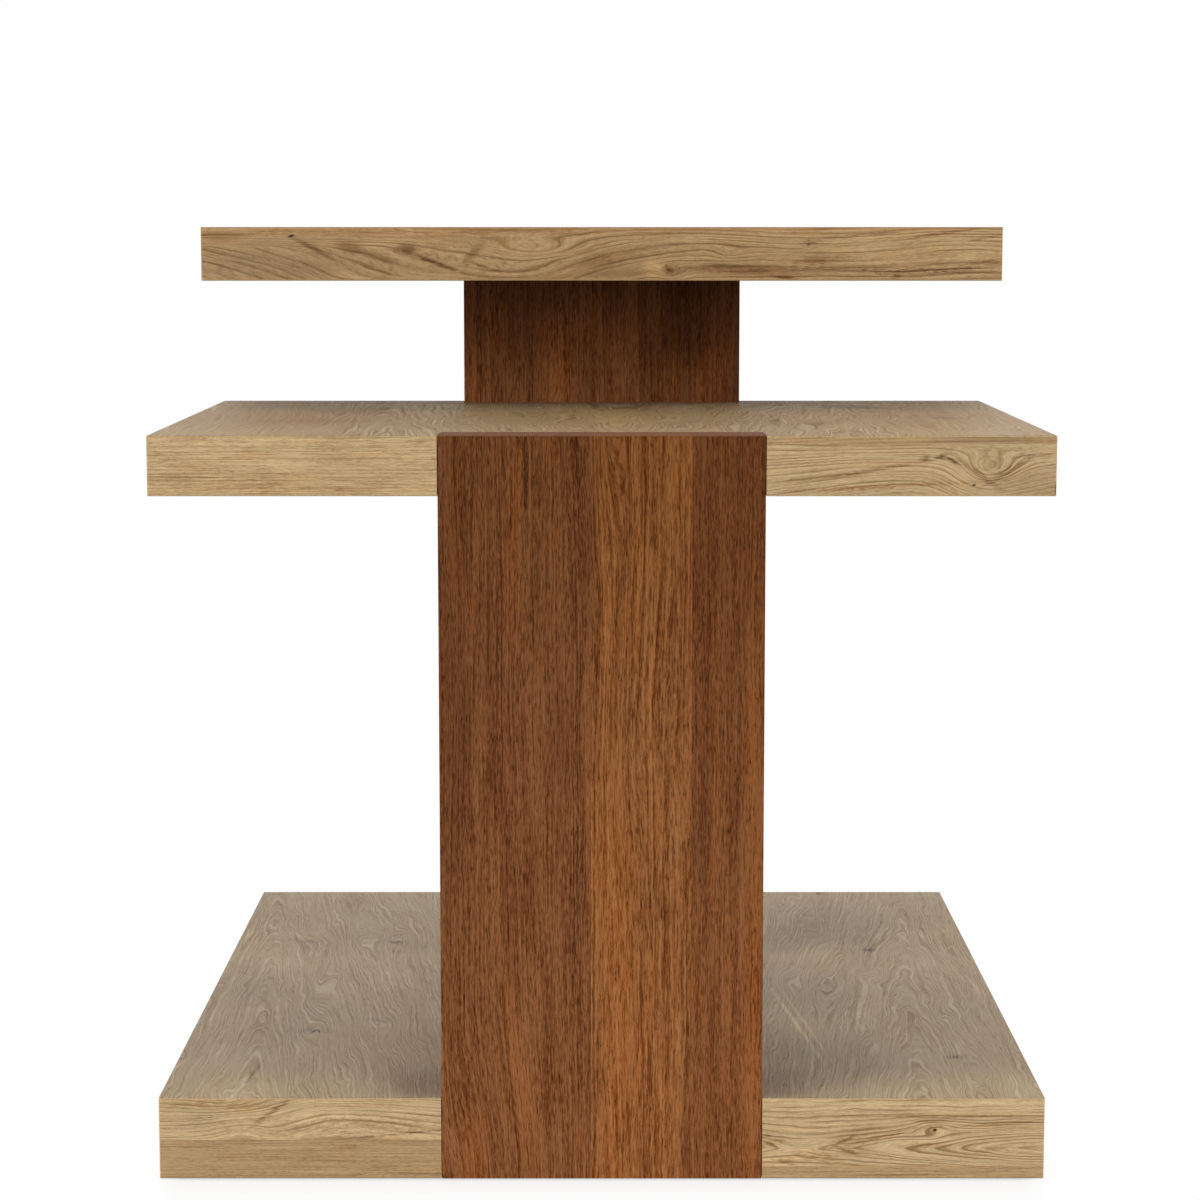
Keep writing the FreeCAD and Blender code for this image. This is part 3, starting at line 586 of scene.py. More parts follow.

# Some tint rows are painted shade and painted light, as their comments say.
# Each node's own figure, over its usual recipe. fan and slope turn all of its grain.
# slants, where the grain runs down to one end: end, slope, top, softness, spacing
# folds, where it arches over a line: axis, tip
# The rows below start with a place along the grain and a hill, which is a place across it.
# swells, which bend the grain: reach behind, ahead and across, height, spread
# calms, with less figure: half length, half width, share
# stains, strongest on dark grain: half length, half width, red, green, blue, ragged, share, lean
# tints, which are soft: half length, half width, red, green, blue, share, lean
# knots: half length, half width, lean, ragged
# Red, green and blue multiply the wood's colour; 255 leaves it as it is.
FIGURES = {
    "top_front_lipping": {
        "swells": ((-60, 573, 130, 75, 20, 20), (-47, 597, 30, 30, 6, 7, 0.35),
            (60, 600, 60, 50, 9, -4), (91, 593, 12, 14, 5, 2.5, 0.3), (49, 581, 9, 9, 6, 4, 0.9),
            (260, 600, 60, 60, 14, -6)),
        "knots": ((-220.7, 604.6, 2.2, 0.9, 0.25, 1.6),),
        "slants": ((-120, 0.17, 605, 9, 0.66),),
        "tints": ((-206, 596.5, 15, 2, 190, 176, 164, 0.9, -0.5),
            (-179, 596.5, 10, 4.5, 200, 188, 176, 0.9, -0.2),
            (-139, 595.5, 8, 4.2, 182, 168, 154, 1, 0.1),
            (-124, 588.5, 16, 1.6, 190, 175, 160, 0.9, -0.4),
            (-90, 594, 7, 4.5, 200, 186, 172, 0.8, 0.9), (-272, 604, 16, 3, 225, 205, 192, 0.8),
            (-230, 590, 90, 16, 239, 239, 242), (235, 592, 60, 10, 261, 262, 265, 0.9),
            (190, 607, 120, 5, 270, 272, 275, 0.9), (-240, 583, 60, 8, 240, 240, 244),
            (-255, 591, 18, 6, 243, 244, 246), (-206, 580, 18, 6, 246, 246, 246),
            (70, 603, 18, 5, 263, 267, 270), (20, 591, 16, 5, 263, 265, 266),
            (200, 600, 70, 8, 259, 263, 265), (268, 600, 26, 10, 260, 265, 267),
            (-150, 599, 40, 9, 267, 266, 266, 0.9), (14, 580, 28, 6, 226, 222, 219),
            (5, 589, 34, 4.5, 208, 196, 184, 0.9, 0.2),
            (-10, 577, 60, 3, 225, 216, 206, 0.8, 0.05), (110, 580, 40, 2.8, 200, 184, 168, 0.9),
            (36, 581, 7, 6, 298, 296, 290, 0.9)),
        "stains": ((-116, 584.5, 22, 1.6, 170, 145, 120, 0.9, 0.9, -0.32),
            (-84, 583, 12, 1.2, 175, 150, 124, 0.9, 0.8, -0.3),
            (49, 581, 5, 4, 175, 150, 125, 0.9, 1), (49.5, 581.5, 2.2, 1.6, 330, 330, 330, 0.7, 1),
            (95, 581, 40, 3.8, 202, 186, 170, 1.6),
            (150, 586, 14, 3, 205, 186, 168, 1.6, 0.9, 0.1),
            (165, 581, 40, 1.6, 192, 170, 148, 1.4), (222, 580, 40, 2, 172, 147, 120, 1.6),
            (268, 584, 26, 3, 175, 150, 124, 1.6, 0.9, 0.15),
            (132, 575, 12, 1.6, 165, 140, 112, 1, 0.9, -0.15),
            (124, 580, 8, 1.6, 300, 300, 295, 0.8, 0.8), (210, 576.5, 3, 3, 180, 158, 132, 0.8),
            (147, 599.7, 7, 0.9, 150, 120, 92, 1), (147, 599.9, 1.2, 2.6, 160, 130, 100, 0.8, 0.8),
            (-80, 607.5, 190, 1.8, 226, 196, 172, 1.2, 0.7),
            (190, 606, 34, 1.2, 190, 155, 130, 1, 0.8, 0.1),
            (245, 607, 30, 1.1, 190, 155, 130, 1, 0.8, 0.14),
            (272, 603, 14, 1, 180, 150, 122, 1, 0.8, 0.2)),
        "pitch": 3,
    },
    "shelf_front_left_lipping": {
        "line_size": (26, 0.8, 4),
        "tints": ((-155, 459, 34, 12, 246, 246, 247), (-240, 477, 60, 4, 264, 265, 267)),
        "stains": ((-200, 450, 90, 7, 232, 218, 200, 1.2, 0.6),),
    },
    "shelf_front_right_strip_lower": {
        "swells": ((198, 450, 85, 30, 20, -13), (241, 461.5, 18, 21, 12, 13, 0.8),
            (300, 446, 30, 30, 12, -6)),
        "knots": ((233.2, 450.1, 1.1, 0.9, 0, 1.4), (285, 447.5, 1.2, 4.5, 0, 0.9)),
        "stains": ((203, 466.5, 3.5, 1.6, 140, 122, 98, 2.2, 1, 0.2),
            (212, 468, 4, 1.6, 135, 115, 92, 2.2, 1, 0.3),
            (219, 466, 4, 1.5, 140, 122, 98, 2.2, 1, -0.4),
            (235, 458, 14, 2.4, 180, 155, 128, 1, 0.9, -0.7),
            (254, 459, 14, 2.4, 175, 150, 122, 1, 0.9, 0.6),
            (272, 468.5, 13, 1.2, 170, 146, 120, 1.2, 0.9, 0.05),
            (165, 458.5, 34, 1.2, 175, 150, 120, 0.8, 0.9, 0.17),
            (175, 449, 60, 1.4, 205, 165, 135, 0.8, 0.8, 0.05),
            (219, 460, 13, 3.5, 262, 266, 270, 0.8, 0.8, -0.3)),
        "tints": ((198, 460, 400, 60, 248, 251, 254), (272, 449, 24, 9, 234, 230, 227),
            (135, 470, 70, 12, 263, 261, 259, 0.9)),
        "pitch": 2.9,
    },
    "shelf_front_right_strip_upper": {
        "slope": -0.02,
        "tints": ((190, 478.5, 200, 12, 233, 232, 229), (255, 478, 40, 3, 236, 226, 224)),
    },
    "base_front_left_strip_upper": {
        "tints": ((-268, 43, 22, 9, 241, 241, 243), (-180, 44, 22, 6, 267, 269, 270),
            (-204, 50, 17, 4.5, 240, 240, 241), (-174, 37, 17, 6, 267, 267, 268),
            (-258, 37, 20, 5, 246, 246, 247)),
        "swells": ((-176, 47, 40, 120, 17, -12), (-232, 34, 22, 14, 10, -5),
            (-243, 51, 26, 24, 6, 4, 0.2)),
        "stains": ((-272, 39, 10, 10, 268, 268, 268, 0.8),
            (-262, 51, 18, 1.6, 225, 208, 188, 1.4, 0.9, 0.1),
            (-235, 49, 20, 3.5, 230, 214, 196, 1.4),
            (-212, 46, 14, 2.2, 190, 165, 138, 0.9, 0.9, 0.75),
            (-130, 31.2, 30, 0.8, 150, 122, 92, 0.6, 1, 0.09)),
        "pitch": 2.6,
    },
    "base_front_left_strip_lower": {
        "stains": ((-164.7, 21.8, 11, 3.4, 218, 198, 176, 1.2, 0.8),
            (-157, 4.5, 12, 1.4, 200, 180, 150, 0.8, 0.6, 0.25)),
    },
    "base_front_right_strip_lower": {
        "tints": ((200, 5, 400, 60, 262, 262, 262),),
    },
    "base_front_right_strip_upper": {
        "tints": ((200, 52, 200, 6, 262, 264, 267), (118, 14, 22, 8, 276, 277, 280),
            (130, 27, 15, 7, 267, 270, 271), (162, 24, 12, 7, 244, 244, 247)),
        "swells": ((300, 22, 112, 60, 15, 27), (88, 25, 30, 26, 11, 10),
            (138, 34.5, 15, 20, 5, -2.5), (214, 33.8, 15, 16, 6.5, 5, -2)),
        "folds": ((22, 2.6),),
        "waves": ((130, 24, 5, 0), (30, 8, 4, 5), (12, 4, 1.2, 9)),
        "rings": 0.7,
        "knots": ((214.5, 33.8, 1.3, 1, 0, 1),),
        "stains": ((214.5, 33.8, 5, 3.4, 205, 180, 152, 0.8),
            (156, 26.5, 7, 1.5, 188, 164, 136, 1.2, 1, 0.5),
            (157, 20.5, 9, 1.5, 192, 168, 140, 1.2, 1, -0.35),
            (182, 29.5, 24, 1.1, 195, 170, 142, 1, 0.9, 0.24),
            (214, 23.5, 9, 1.6, 200, 180, 150, 1.4, 0.9, 0.1),
            (250, 20.5, 10, 1.6, 200, 178, 150, 1.4, 0.9, 0.1),
            (258, 38, 30, 1.2, 190, 164, 136, 1.2, 0.9, 0.06),
            (213, 39.5, 12, 1, 195, 170, 142, 1), (104, 29.5, 9, 1.4, 185, 160, 132, 1.6),
            (111, 25, 7, 2.4, 205, 182, 156, 1.6, 0.9, 0.3),
            (139, 16, 15, 3, 210, 190, 166, 1.6, 0.9, -0.1),
            (118, 13, 7, 2.5, 205, 182, 156, 1.4, 0.9, -0.3),
            (228, 43, 60, 1.3, 190, 165, 138, 1.4)),
        "pitch": 3.8,
    },
    "base_top_veneer": {
        "fan": 0.0003,
        "folds": ((-10, 6), (-225, 5.5)),
        "slope": -0.08, "rings": 0.28,
        "swells": ((-20, -207, 80, 70, 12, -10, -0.6), (118, -222, 30, 30, 12, 8),
            (-138, -201, 24, 24, 8, 0, -0.95), (-120, -150, 40, 40, 8, 8, -0.7),
            (122, -160, 34, 34, 8, 5, -0.8), (-235, 252, 50, 50, 9, 9, -0.7),
            (-40, 160, 50, 50, 10, 8, 0.8), (160, 170, 50, 50, 9, -8, 0.8),
            (3, 139, 34, 34, 8, 5, 0.8)),
        "whorls": ((70, 17, 26, 2, 0.52, 0.66), (26, 8, 4, 7, 0.42, 0.6)),
        "stains": ((128.8, -243.6, 6, 7, 206, 200, 196, 1.4),
            (124, -229, 6, 7, 212, 206, 202, 1.4), (122.1, -160.5, 6, 8, 202, 196, 192, 1.4),
            (90, -160, 8, 6, 218, 212, 208, 1.4, 0.8), (-109.9, -156.6, 8, 9, 206, 200, 196, 1.4),
            (-138.9, -201.2, 7, 13, 196, 190, 186, 1.4), (96, 206.5, 6, 6, 190, 184, 180, 1.4),
            (3.1, 139.4, 6, 4, 206, 200, 196, 1.4), (-204.6, 239.7, 6, 7, 186, 180, 174, 1.4),
            (165.9, 256.6, 6, 4, 206, 200, 196, 1.4), (96, 206.5, 2.4, 5, 130, 122, 112, 1.2, 1),
            (-204.6, 239.7, 2.6, 4.6, 118, 110, 100, 1.2, 1),
            (-138.9, -201.2, 2.6, 5, 136, 128, 118, 1.2, 1),
            (-300, -236, 80, 12, 275, 275, 268, 1, 0.5),
            (-230, -229, 34, 1.2, 206, 188, 170, 0.8, 0.9, 0.1)),
        "tints": ((-80, -225, 95, 55, 234, 232, 234), (-60, 225, 90, 55, 236, 235, 236),
            (-20, 150, 70, 34, 228, 226, 226), (175, 165, 70, 55, 232, 231, 233, 0.9),
            (-200, 150, 60, 45, 226, 225, 228, 0.9), (-150, -135, 90, 26, 250, 244, 238, 0.8),
            (240, -190, 70, 110, 247, 247, 251, 0.9), (240, 190, 70, 110, 248, 247, 252, 0.9),
            # Painted shade: the two rows at -265 darken the base beside the front column. Painted
            # light: the two rows at -290 lighten it towards its front edge.
            (-20, -262, 60, 26, 244, 245, 247, 0.9), (-265, -118, 34, 24, 216, 204, 196, 0.9),
            (-265, 118, 34, 22, 216, 204, 196, 0.9), (-290, -205, 45, 80, 282, 281, 272),
            (-290, 222, 45, 84, 286, 285, 277), (-115, 136, 100, 1.6, 304, 303, 298, 1, -0.12),
            (-120, 143, 90, 1.2, 298, 297, 292, 0.8, -0.12),
            (-215, -150, 60, 60, 263, 262, 260, 0.9)),
        "waves": ((190, 40, 16, 0), (70, 16, 7, 3), (16, 4, 1.5, 8)),
    },
    "front_column_stave_left": {
        "tints": ((480, -55, 120, 120, 256, 252, 240), (300, -97, 150, 14, 220, 214, 210, 0.9),
            (60, -40, 60, 12, 264, 262, 256, 0.9), (285, -24, 34, 12, 234, 228, 228, 0.9)),
        "swells": ((-10, -72, 60, 80, 42, -13),),
        "stains": ((175, -16.5, 105, 6.5, 206, 190, 190, 0.8),
            (235, -8.6, 70, 1.7, 296, 292, 278, 0.7), (400, -92, 60, 4, 285, 275, 255, 1.2, 0.8),
            (430, -55, 40, 0.8, 300, 290, 270, 1.6, 0.8),
            (350, -82, 60, 0.9, 300, 290, 270, 1.6, 0.8),
            (120, -58, 60, 1.2, 300, 292, 275, 1.6, 0.8),
            (440, -15, 90, 8, 220, 206, 200, 0.8, 0.8), (455, -47.6, 26, 1.8, 170, 150, 150, 1.4),
            (330, -62, 130, 9, 222, 205, 205, 1, 0.7, 0.02),
            (60, -52, 70, 5, 300, 290, 270, 0.8, 0.7, -0.14),
            (60, -30, 22, 9, 215, 200, 190, 1.6, 0.8), (15, -85, 30, 12, 290, 270, 250, 0.8, 0.6),
            (120, -88, 30, 0.5, 150, 120, 105, 2.6), (150, -59.6, 34, 0.5, 160, 130, 115, 2.6),
            (58, -52.5, 40, 0.5, 165, 135, 120, 2.6, 0.9, -0.12),
            (44, -88.5, 20, 0.5, 160, 130, 115, 2.6, 0.9, -0.3)),
    },
    "front_column_stave_centre": {
        "tints": ((480, 25, 120, 120, 254, 249, 233), (400, -5, 90, 3.6, 232, 232, 238),
            (370, 4, 80, 4, 268, 268, 270), (70, -5, 60, 3.6, 236, 238, 246),
            (90, 54, 120, 3.6, 238, 240, 246), (22, 55, 34, 4, 234, 232, 233)),
        "swells": ((500, 6, 70, 20, 9, 9, 0.5), (300, 20, 90, 90, 22, 4)),
        "stains": ((120, 10, 120, 12, 285, 280, 265, 0.9, 0.8),
            (385, -5.6, 50, 1.6, 210, 192, 184, 0.7), (260, 4, 90, 7, 276, 274, 262, 1.2, 0.8),
            (90, 27, 50, 3, 300, 298, 285, 1.4, 0.8, 0.1),
            (300, 38, 130, 8, 225, 215, 205, 0.9, 0.7),
            (60, 30, 60, 5, 225, 210, 200, 0.9, 0.7, 0.05),
            (300, 55.5, 250, 0.7, 290, 285, 275, 1.4, 0.7)),
    },
    "front_column_stave_right": {
        "tints": ((480, 80, 120, 120, 252, 246, 232), (225, 62, 28, 8, 236, 240, 247)),
        "stains": ((150, 96, 210, 6, 300, 300, 280, 0.9),
            (250, 66, 230, 6, 225, 212, 205, 0.9, 0.8)),
    },
    "rear_column_stave_left": {
        "stains": ((530, -92, 60, 3, 190, 180, 180, 0.6),
            (530, -85.5, 60, 1.2, 300, 300, 290, 0.6, 0.7)),
        # Painted shade: the row at 573 makes the shaded top end, under the top, paler and bluer.
        "tints": ((573, -74, 34, 120, 266, 284, 320, 0.9), (495, -94, 24, 6, 285, 275, 262, 0.8),
            (545, -62, 40, 12, 225, 220, 225, 0.7)),
    },
    "rear_column_stave_centre": {
        # Painted shade: the row at 573 makes the shaded top end, under the top, paler and bluer.
        "tints": ((573, 0, 34, 120, 266, 284, 320, 0.9), (500, -33, 34, 13, 305, 300, 290, 0.9),
            (540, -8, 24, 30, 285, 288, 290, 0.8), (500, 12, 30, 14, 275, 275, 270, 0.8),
            (560, 8, 30, 10, 225, 222, 230, 0.8)),
    },
    "rear_column_stave_right": {
        "stains": ((526, 48, 4, 2, 130, 120, 120, 0.8),),
        # Painted shade: the row at 573 makes the shaded top end, under the top, paler and bluer.
        "tints": ((573, 66, 34, 120, 276, 292, 328, 0.9), (535, 38, 34, 12, 286, 286, 292, 0.9),
            (530, 92, 30, 14, 280, 278, 284, 0.9), (497, 82, 24, 12, 315, 300, 278, 0.9),
            (492, 52, 20, 20, 300, 300, 280, 0.9), (555, 62, 40, 12, 225, 222, 228, 0.7)),
    },
    "shelf_top_veneer": {
        "fan": 0.00035,
        "folds": ((10, 6), (-135, 3)),
        "slope": -0.05, "pitch": 4.2, "rings": 0.6,
        "calms": ((-100, -235, 400, 62, 0.75), (-100, 245, 400, 58, 0.65),
            (-100, -75, 200, 22, 0.4)),
        "gloss": 0.3, "line_size": (200, 1.6, 9), "fibre_size": (60, 0.9, 2),
        "waves": ((260, 34, 16, 0), (110, 14, 7, 3)),
        "whorls": ((170, 26, 56, 4, 0.42, 0.56), (80, 12, 14, 9, 0.42, 0.6)),
        "stains": ((-50, 190, 12, 9, 190, 180, 170, 1.2), (0, 195, 14, 9, 190, 180, 170, 1.2),
            (-120, 235, 12, 9, 195, 185, 175, 1.2)),
        # Painted shade: the row at 66 darkens the shelf along its back, under the top.
        "tints": ((66, 0, 26, 330, 222, 218, 217, 0.9), (4, 8, 46, 120, 270, 274, 284),
            (-110, 10, 160, 17, 264, 264, 261), (-150, 15, 60, 26, 268, 266, 257, 0.9),
            (-110, 0, 260, 95, 238, 230, 220), (-110, -220, 260, 80, 256, 247, 242),
            (-110, 220, 260, 90, 272, 264, 257), (-150, -190, 26, 40, 238, 226, 214, 0.8),
            (-40, -175, 40, 30, 226, 216, 206, 0.7), (10, 175, 26, 20, 212, 200, 190, 0.8),
            (-190, 165, 30, 18, 262, 262, 262, 0.8)),
    },
}


def recipe_for(usual, node, seed, settings, colours, changes):
    """A wood's usual recipe with its colours, then the node's own figure, then the changes."""
    return {**usual, "seed": seed, "roughness": settings.roughness, "relief": settings.relief,
            **colours, **FIGURES.get(node, {}), **changes}


def oak_recipe(usual, node, seed, settings, middle, depth, **changes):
    """Pale oak, edge or face."""
    colours = tones(middle, depth)
    colours.update(pore_colour=colours["dark"], knot_colour=settings.knot)
    return recipe_for(usual, node, seed, settings, colours, changes)


# ---- operators ----

WORK = {}


def shared_woodwork():
    """The wood pattern groups, made once."""
    if "wood" not in WORK:
        WORK["wood"] = Woodwork()
    return WORK["wood"]


class TABLE_OT_veneers(bpy.types.Operator):
    """Give the oak veneers of the base, the shelf and the top their grain"""

    bl_idname = "table.veneers"
    bl_label = "Oak veneers"

    def execute(self, context):
        settings, work = context.scene.table_oak, shared_woodwork()
        for node, seed, face, edge in (
                ("base_top_veneer", 3, settings.face, settings.base_edge),
                ("shelf_top_veneer", 11, settings.shelf_face, settings.shelf_edge),
                ("top_face_veneer", 17, settings.face, settings.top_edge),
                ("base_bottom_veneer", 23, settings.face, settings.low_strip),
                ("shelf_bottom_veneer", 29, settings.shelf_face, settings.shelf_edge),
                ("top_bottom_veneer", 31, settings.face, settings.top_edge)):
            recipe = oak_recipe(FACE, node, seed, settings, face, depth=0.7,
                                side_colour=tuple(edge), side_dark=tones(edge, 0.3)["dark"])
            put_on(node, work.material("oak_" + node, recipe))
        return {"FINISHED"}


class TABLE_OT_edges(bpy.types.Operator):
    """Give the solid oak edges their grain, lines and knots"""

    bl_idname = "table.edges"
    bl_label = "Oak edges"

    def execute(self, context):
        settings, work = context.scene.table_oak, shared_woodwork()
        fine = {"rings": 0.25, "lines": 1.1, "pores": 0.65, "waves": ((160, 30, 3, 0),)}
        jobs = [
            ("top_front_lipping", 2, settings.top_edge, {"rings": 0.6}),
            ("shelf_front_left_lipping", 4, settings.shelf_edge, fine),
            ("shelf_front_right_strip_lower", 6, settings.shelf_edge, {}),
            ("shelf_front_right_strip_upper", 8, settings.shelf_edge, {}),
            ("base_front_left_strip_lower", 10, settings.low_strip, fine),
            ("base_front_left_strip_upper", 12, settings.base_edge, {}),
            ("base_front_right_strip_lower", 14, settings.low_strip, fine),
            ("base_front_right_strip_upper", 16, settings.base_edge, {}),
        ]
        for slab, seed, middle in (("base", 40, settings.base_edge),
                                   ("shelf", 47, settings.shelf_edge),
                                   ("top", 54, settings.top_edge)):
            jobs.append((slab + "_back_lipping", seed, middle, {}))
            jobs.append((slab + "_left_lipping", seed + 2, middle, {"along": "Y side"}))
            jobs.append((slab + "_right_lipping", seed + 4, middle, {"along": "Y side"}))
        for node, seed, middle, changes in jobs:
            recipe = oak_recipe(EDGE, node, seed, settings, middle, depth=0.75, **changes)
            put_on(node, work.material("oak_" + node, recipe))
        return {"FINISHED"}


class TABLE_OT_columns(bpy.types.Operator):
    """Give the staves of both columns their dark stained grain"""

    bl_idname = "table.columns"
    bl_label = "Dark columns"

    def execute(self, context):
        settings, work = context.scene.table_column, shared_woodwork()
        # shade, painted light and shade: from one height to another in millimetres, the light level
        # painted there and there; the columns are painted darker up under the shelf and the top
        rear = {"shade": ((500, 530, 1.05, 1.13), (538, 560, 1, 0.92), (560, 573, 1, 0.76))}
        rear_right = scaled(settings.rear, 0.66, 0.66, 0.66)
        staves = (
            ("front_column_stave_left", 5, settings.left, {"shade": ((20, 480, 1.38, 0.8),)}),
            ("front_column_stave_centre", 9, settings.centre,
             {"rings": 0.36, "glow": 0.35, "pitch": 4.6, "shade": ((20, 480, 1.2, 0.74),)}),
            ("front_column_stave_right", 15, settings.right,
             {"rings": 0.15, "shade": ((20, 480, 1.34, 0.68),)}),
            ("rear_column_stave_left", 19, settings.rear, rear),
            ("rear_column_stave_centre", 25, settings.rear, rear),
            ("rear_column_stave_right", 35, rear_right, rear),
        )
        for node, seed, middle, changes in staves:
            colours = tones(middle, 0.9, lift=(0.42, 0.62, 0.85), drop=(0.62, 0.75, 0.93))
            colours.update(pore_colour=settings.pore, end_colour=settings.end_grain_and_sheen)
            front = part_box(node)[0].y * MILLIMETRES
            recipe = recipe_for(STAVE, node, seed, settings, colours, {**changes, "front": front})
            put_on(node, work.material("dark_" + node, recipe))
        return {"FINISHED"}


def hidden_boards(settings):
    """Pressed chips of pale wood."""
    made, g, _, place = blank_material("core_board")
    chips = g.add("TexVoronoi", {"Vector": g.vector("DIVIDE", place, (4.6, 3.8, 1.5))},
                  feature="F1").outputs
    tone = g.split(chips["Color"])[0]
    dust = g.noise(place, 3, 0.6, scale=1.6)
    board = tones(settings.board, 0.8)
    colour = g.mix(g.step(tone, 0.1, 0.9), board["dark"], board["light"])
    colour = g.mix(g.step(chips["Distance"], 0.35, 0.8), colour, board["middle"])
    colour = g.mix(g.step(dust, 0.58, 0.75, 0, 0.5), colour, board["dark"])
    rough = g.step(dust, 0.3, 0.7, 0.78, 0.92)
    height = g.math("SUBTRACT", tone, chips["Distance"])
    finish_material(g, colour, rough, height, relief=0.0003, ior=1.45, gloss=0.2)
    return made


def black_coat(settings):
    """Fine-grained black powder coat, a little greyer where it was rubbed."""
    made, g, _, place = blank_material("black_coat")
    grit = g.noise(place, 2, 0.6, scale=2.6)
    rubbed = g.noise(place, 3, 0.6, scale=0.09)
    worn = scaled(settings.coat, 2.4, 2.4, 2.4)
    colour = g.mix(g.step(rubbed, 0.52, 0.72, 0, 0.6), settings.coat, worn)
    colour = g.mix(g.step(grit, 0.55, 0.75, 0, 0.35), colour, worn)
    rough = g.plus(g.step(grit, 0.3, 0.7, 0.5, 0.64), g.step(rubbed, 0.45, 0.75), -0.12)
    finish_material(g, colour, rough, grit, relief=0.00008, ior=1.5, gloss=0.5)
    return made


def zinc_plate(settings):
    """Bright zinc with a faint cloudy bloom and fine turning marks."""
    made, g, _, place = blank_material("zinc_plate")
    bloom = g.noise(place, 3, 0.6, scale=0.5)
    marks = g.noise(g.vector("DIVIDE", place, (2.5, 2.5, 0.16)), 2, 0.6)
    dull = scaled(settings.zinc, 0.66, 0.68, 0.7)
    colour = g.mix(g.step(bloom, 0.35, 0.68), settings.zinc, dull)
    rough = g.plus(g.step(marks, 0.3, 0.7, 0.24, 0.36), g.step(bloom, 0.3, 0.7), 0.14)
    finish_material(g, colour, rough, marks, relief=0.00003, metal=1)
    return made


def beech_wood(settings):
    """Pale beech with its short dark flecks along the dowel."""
    made, g, _, place = blank_material("beech")
    flecks = g.noise(g.vector("DIVIDE", place, (0.4, 2.4, 0.4)), 2, 0.6)
    clouds = g.noise(g.vector("DIVIDE", place, (3, 18, 3)), 2, 0.5)
    beech = tones(settings.beech, 0.5)
    colour = g.mix(g.step(clouds, 0.35, 0.65), beech["middle"], beech["light"])
    colour = g.mix(g.step(flecks, 0.54, 0.66), colour, beech["dark"])
    rough = g.step(flecks, 0.3, 0.7, 0.6, 0.74)
    finish_material(g, colour, rough, flecks, relief=0.00008, ior=1.45, gloss=0.3)
    return made


def wool_felt(settings):
    """Pressed felt: matted fibres, with paler ones lying over it."""
    made, g, _, place = blank_material("felt")
    twist = g.add("TexNoise", {"Vector": place, "Scale": 0.8, "Detail": 2}).outputs["Color"]
    bent = g.vector("ADD", place, g.vector("MULTIPLY", twist, (2.5, 2.5, 2.5)))
    strands, crossing = (g.noise(g.vector("DIVIDE", bent, size), 3, 0.65)
                         for size in ((0.22, 1.4, 0.5), (1.4, 0.22, 0.5)))
    mat = g.math("MAXIMUM", strands, crossing)
    felt = tones(settings.felt, 0.9)
    colour = g.mix(g.step(mat, 0.42, 0.62), felt["dark"], felt["middle"])
    colour = g.mix(g.step(mat, 0.62, 0.74), colour, felt["light"])
    rough = g.step(mat, 0.3, 0.7, 0.98, 0.88)
    finish_material(g, colour, rough, mat, relief=0.0003, ior=1.4, gloss=0.1)
    return made


class TABLE_OT_boards(bpy.types.Operator):
    """Give the core boards their pressed chips and the steel plate its black coat"""

    bl_idname = "table.boards"
    bl_label = "Core boards and plate"

    def execute(self, context):
        settings = context.scene.table_fitting
        chips = hidden_boards(settings)
        for slab in ("base", "shelf", "top"):
            put_on(slab + "_core_lower", chips)
            put_on(slab + "_core_upper", chips)
        put_on("column_top_plate", black_coat(settings))
        return {"FINISHED"}


def deselect_all():
    for thing in bpy.context.view_layer.objects:
        thing.select_set(False)


def pick_up(piece):
    """Makes one object the only one selected."""
    deselect_all()
    piece.select_set(True)
    bpy.context.view_layer.objects.active = piece


def settle(piece):
    """Takes a piece's place, turn and size into its mesh."""
    pick_up(piece)
    bpy.ops.object.transform_apply(location=True, rotation=True, scale=True)


def new_piece(add, stretch=(1, 1, 1), **sizes):
    """Adds a primitive at its size and place, and takes them into its mesh."""
    deselect_all()
    add(**sizes)
    piece = bpy.context.object
    piece.scale = stretch
    settle(piece)
    return piece


def mark(piece, kind, chosen, among=None):
    """Selects vertices or edges for edit mode, by a test on their places or among some edges."""
    mesh = piece.data
    for group in (mesh.vertices, mesh.edges, mesh.polygons):
        for item in group:
            item.select = False
    if kind == "VERT":
        for point in mesh.vertices:
            point.select = chosen(point.co)
    else:
        for edge in mesh.edges:
            edge.select = (among is None or edge.index in among) and all(
                chosen(mesh.vertices[i].co) for i in edge.vertices)
    bpy.ops.object.mode_set(mode="EDIT")
    bpy.ops.mesh.select_mode(type=kind)


def done_editing():
    bpy.ops.object.mode_set(mode="OBJECT")


def bevel(piece, chosen, width, segments):
    """Bevels the edges whose ends are both chosen."""
    mark(piece, "EDGE", chosen)
    bpy.ops.mesh.bevel(offset=width, segments=segments, affect="EDGES")
    done_editing()


def cut_out(piece, tool):
    """Cuts the tool's shape out of the piece."""
    pick_up(piece)
    cut = piece.modifiers.new("Recess", "BOOLEAN")
    cut.operation = "DIFFERENCE"
    cut.solver = "EXACT"
    cut.object = tool
    bpy.ops.object.modifier_apply(modifier="Recess")
    bpy.data.objects.remove(tool, do_unlink=True)


def copy_of(piece, offset):
    """A copy with its own mesh, moved by the offset."""
    pick_up(piece)
    bpy.ops.object.duplicate(linked=False)
    copy = bpy.context.object
    bpy.ops.transform.translate(value=offset)
    settle(copy)
    return copy


def in_pairs(piece, across, behind, pairs):
    """The piece and its copies, two side by side in each pair, and the pairs behind each other."""
    return [piece] + [copy_of(piece, (across * i, behind * j, 0))
                      for j in range(pairs) for i in range(2) if i or j]


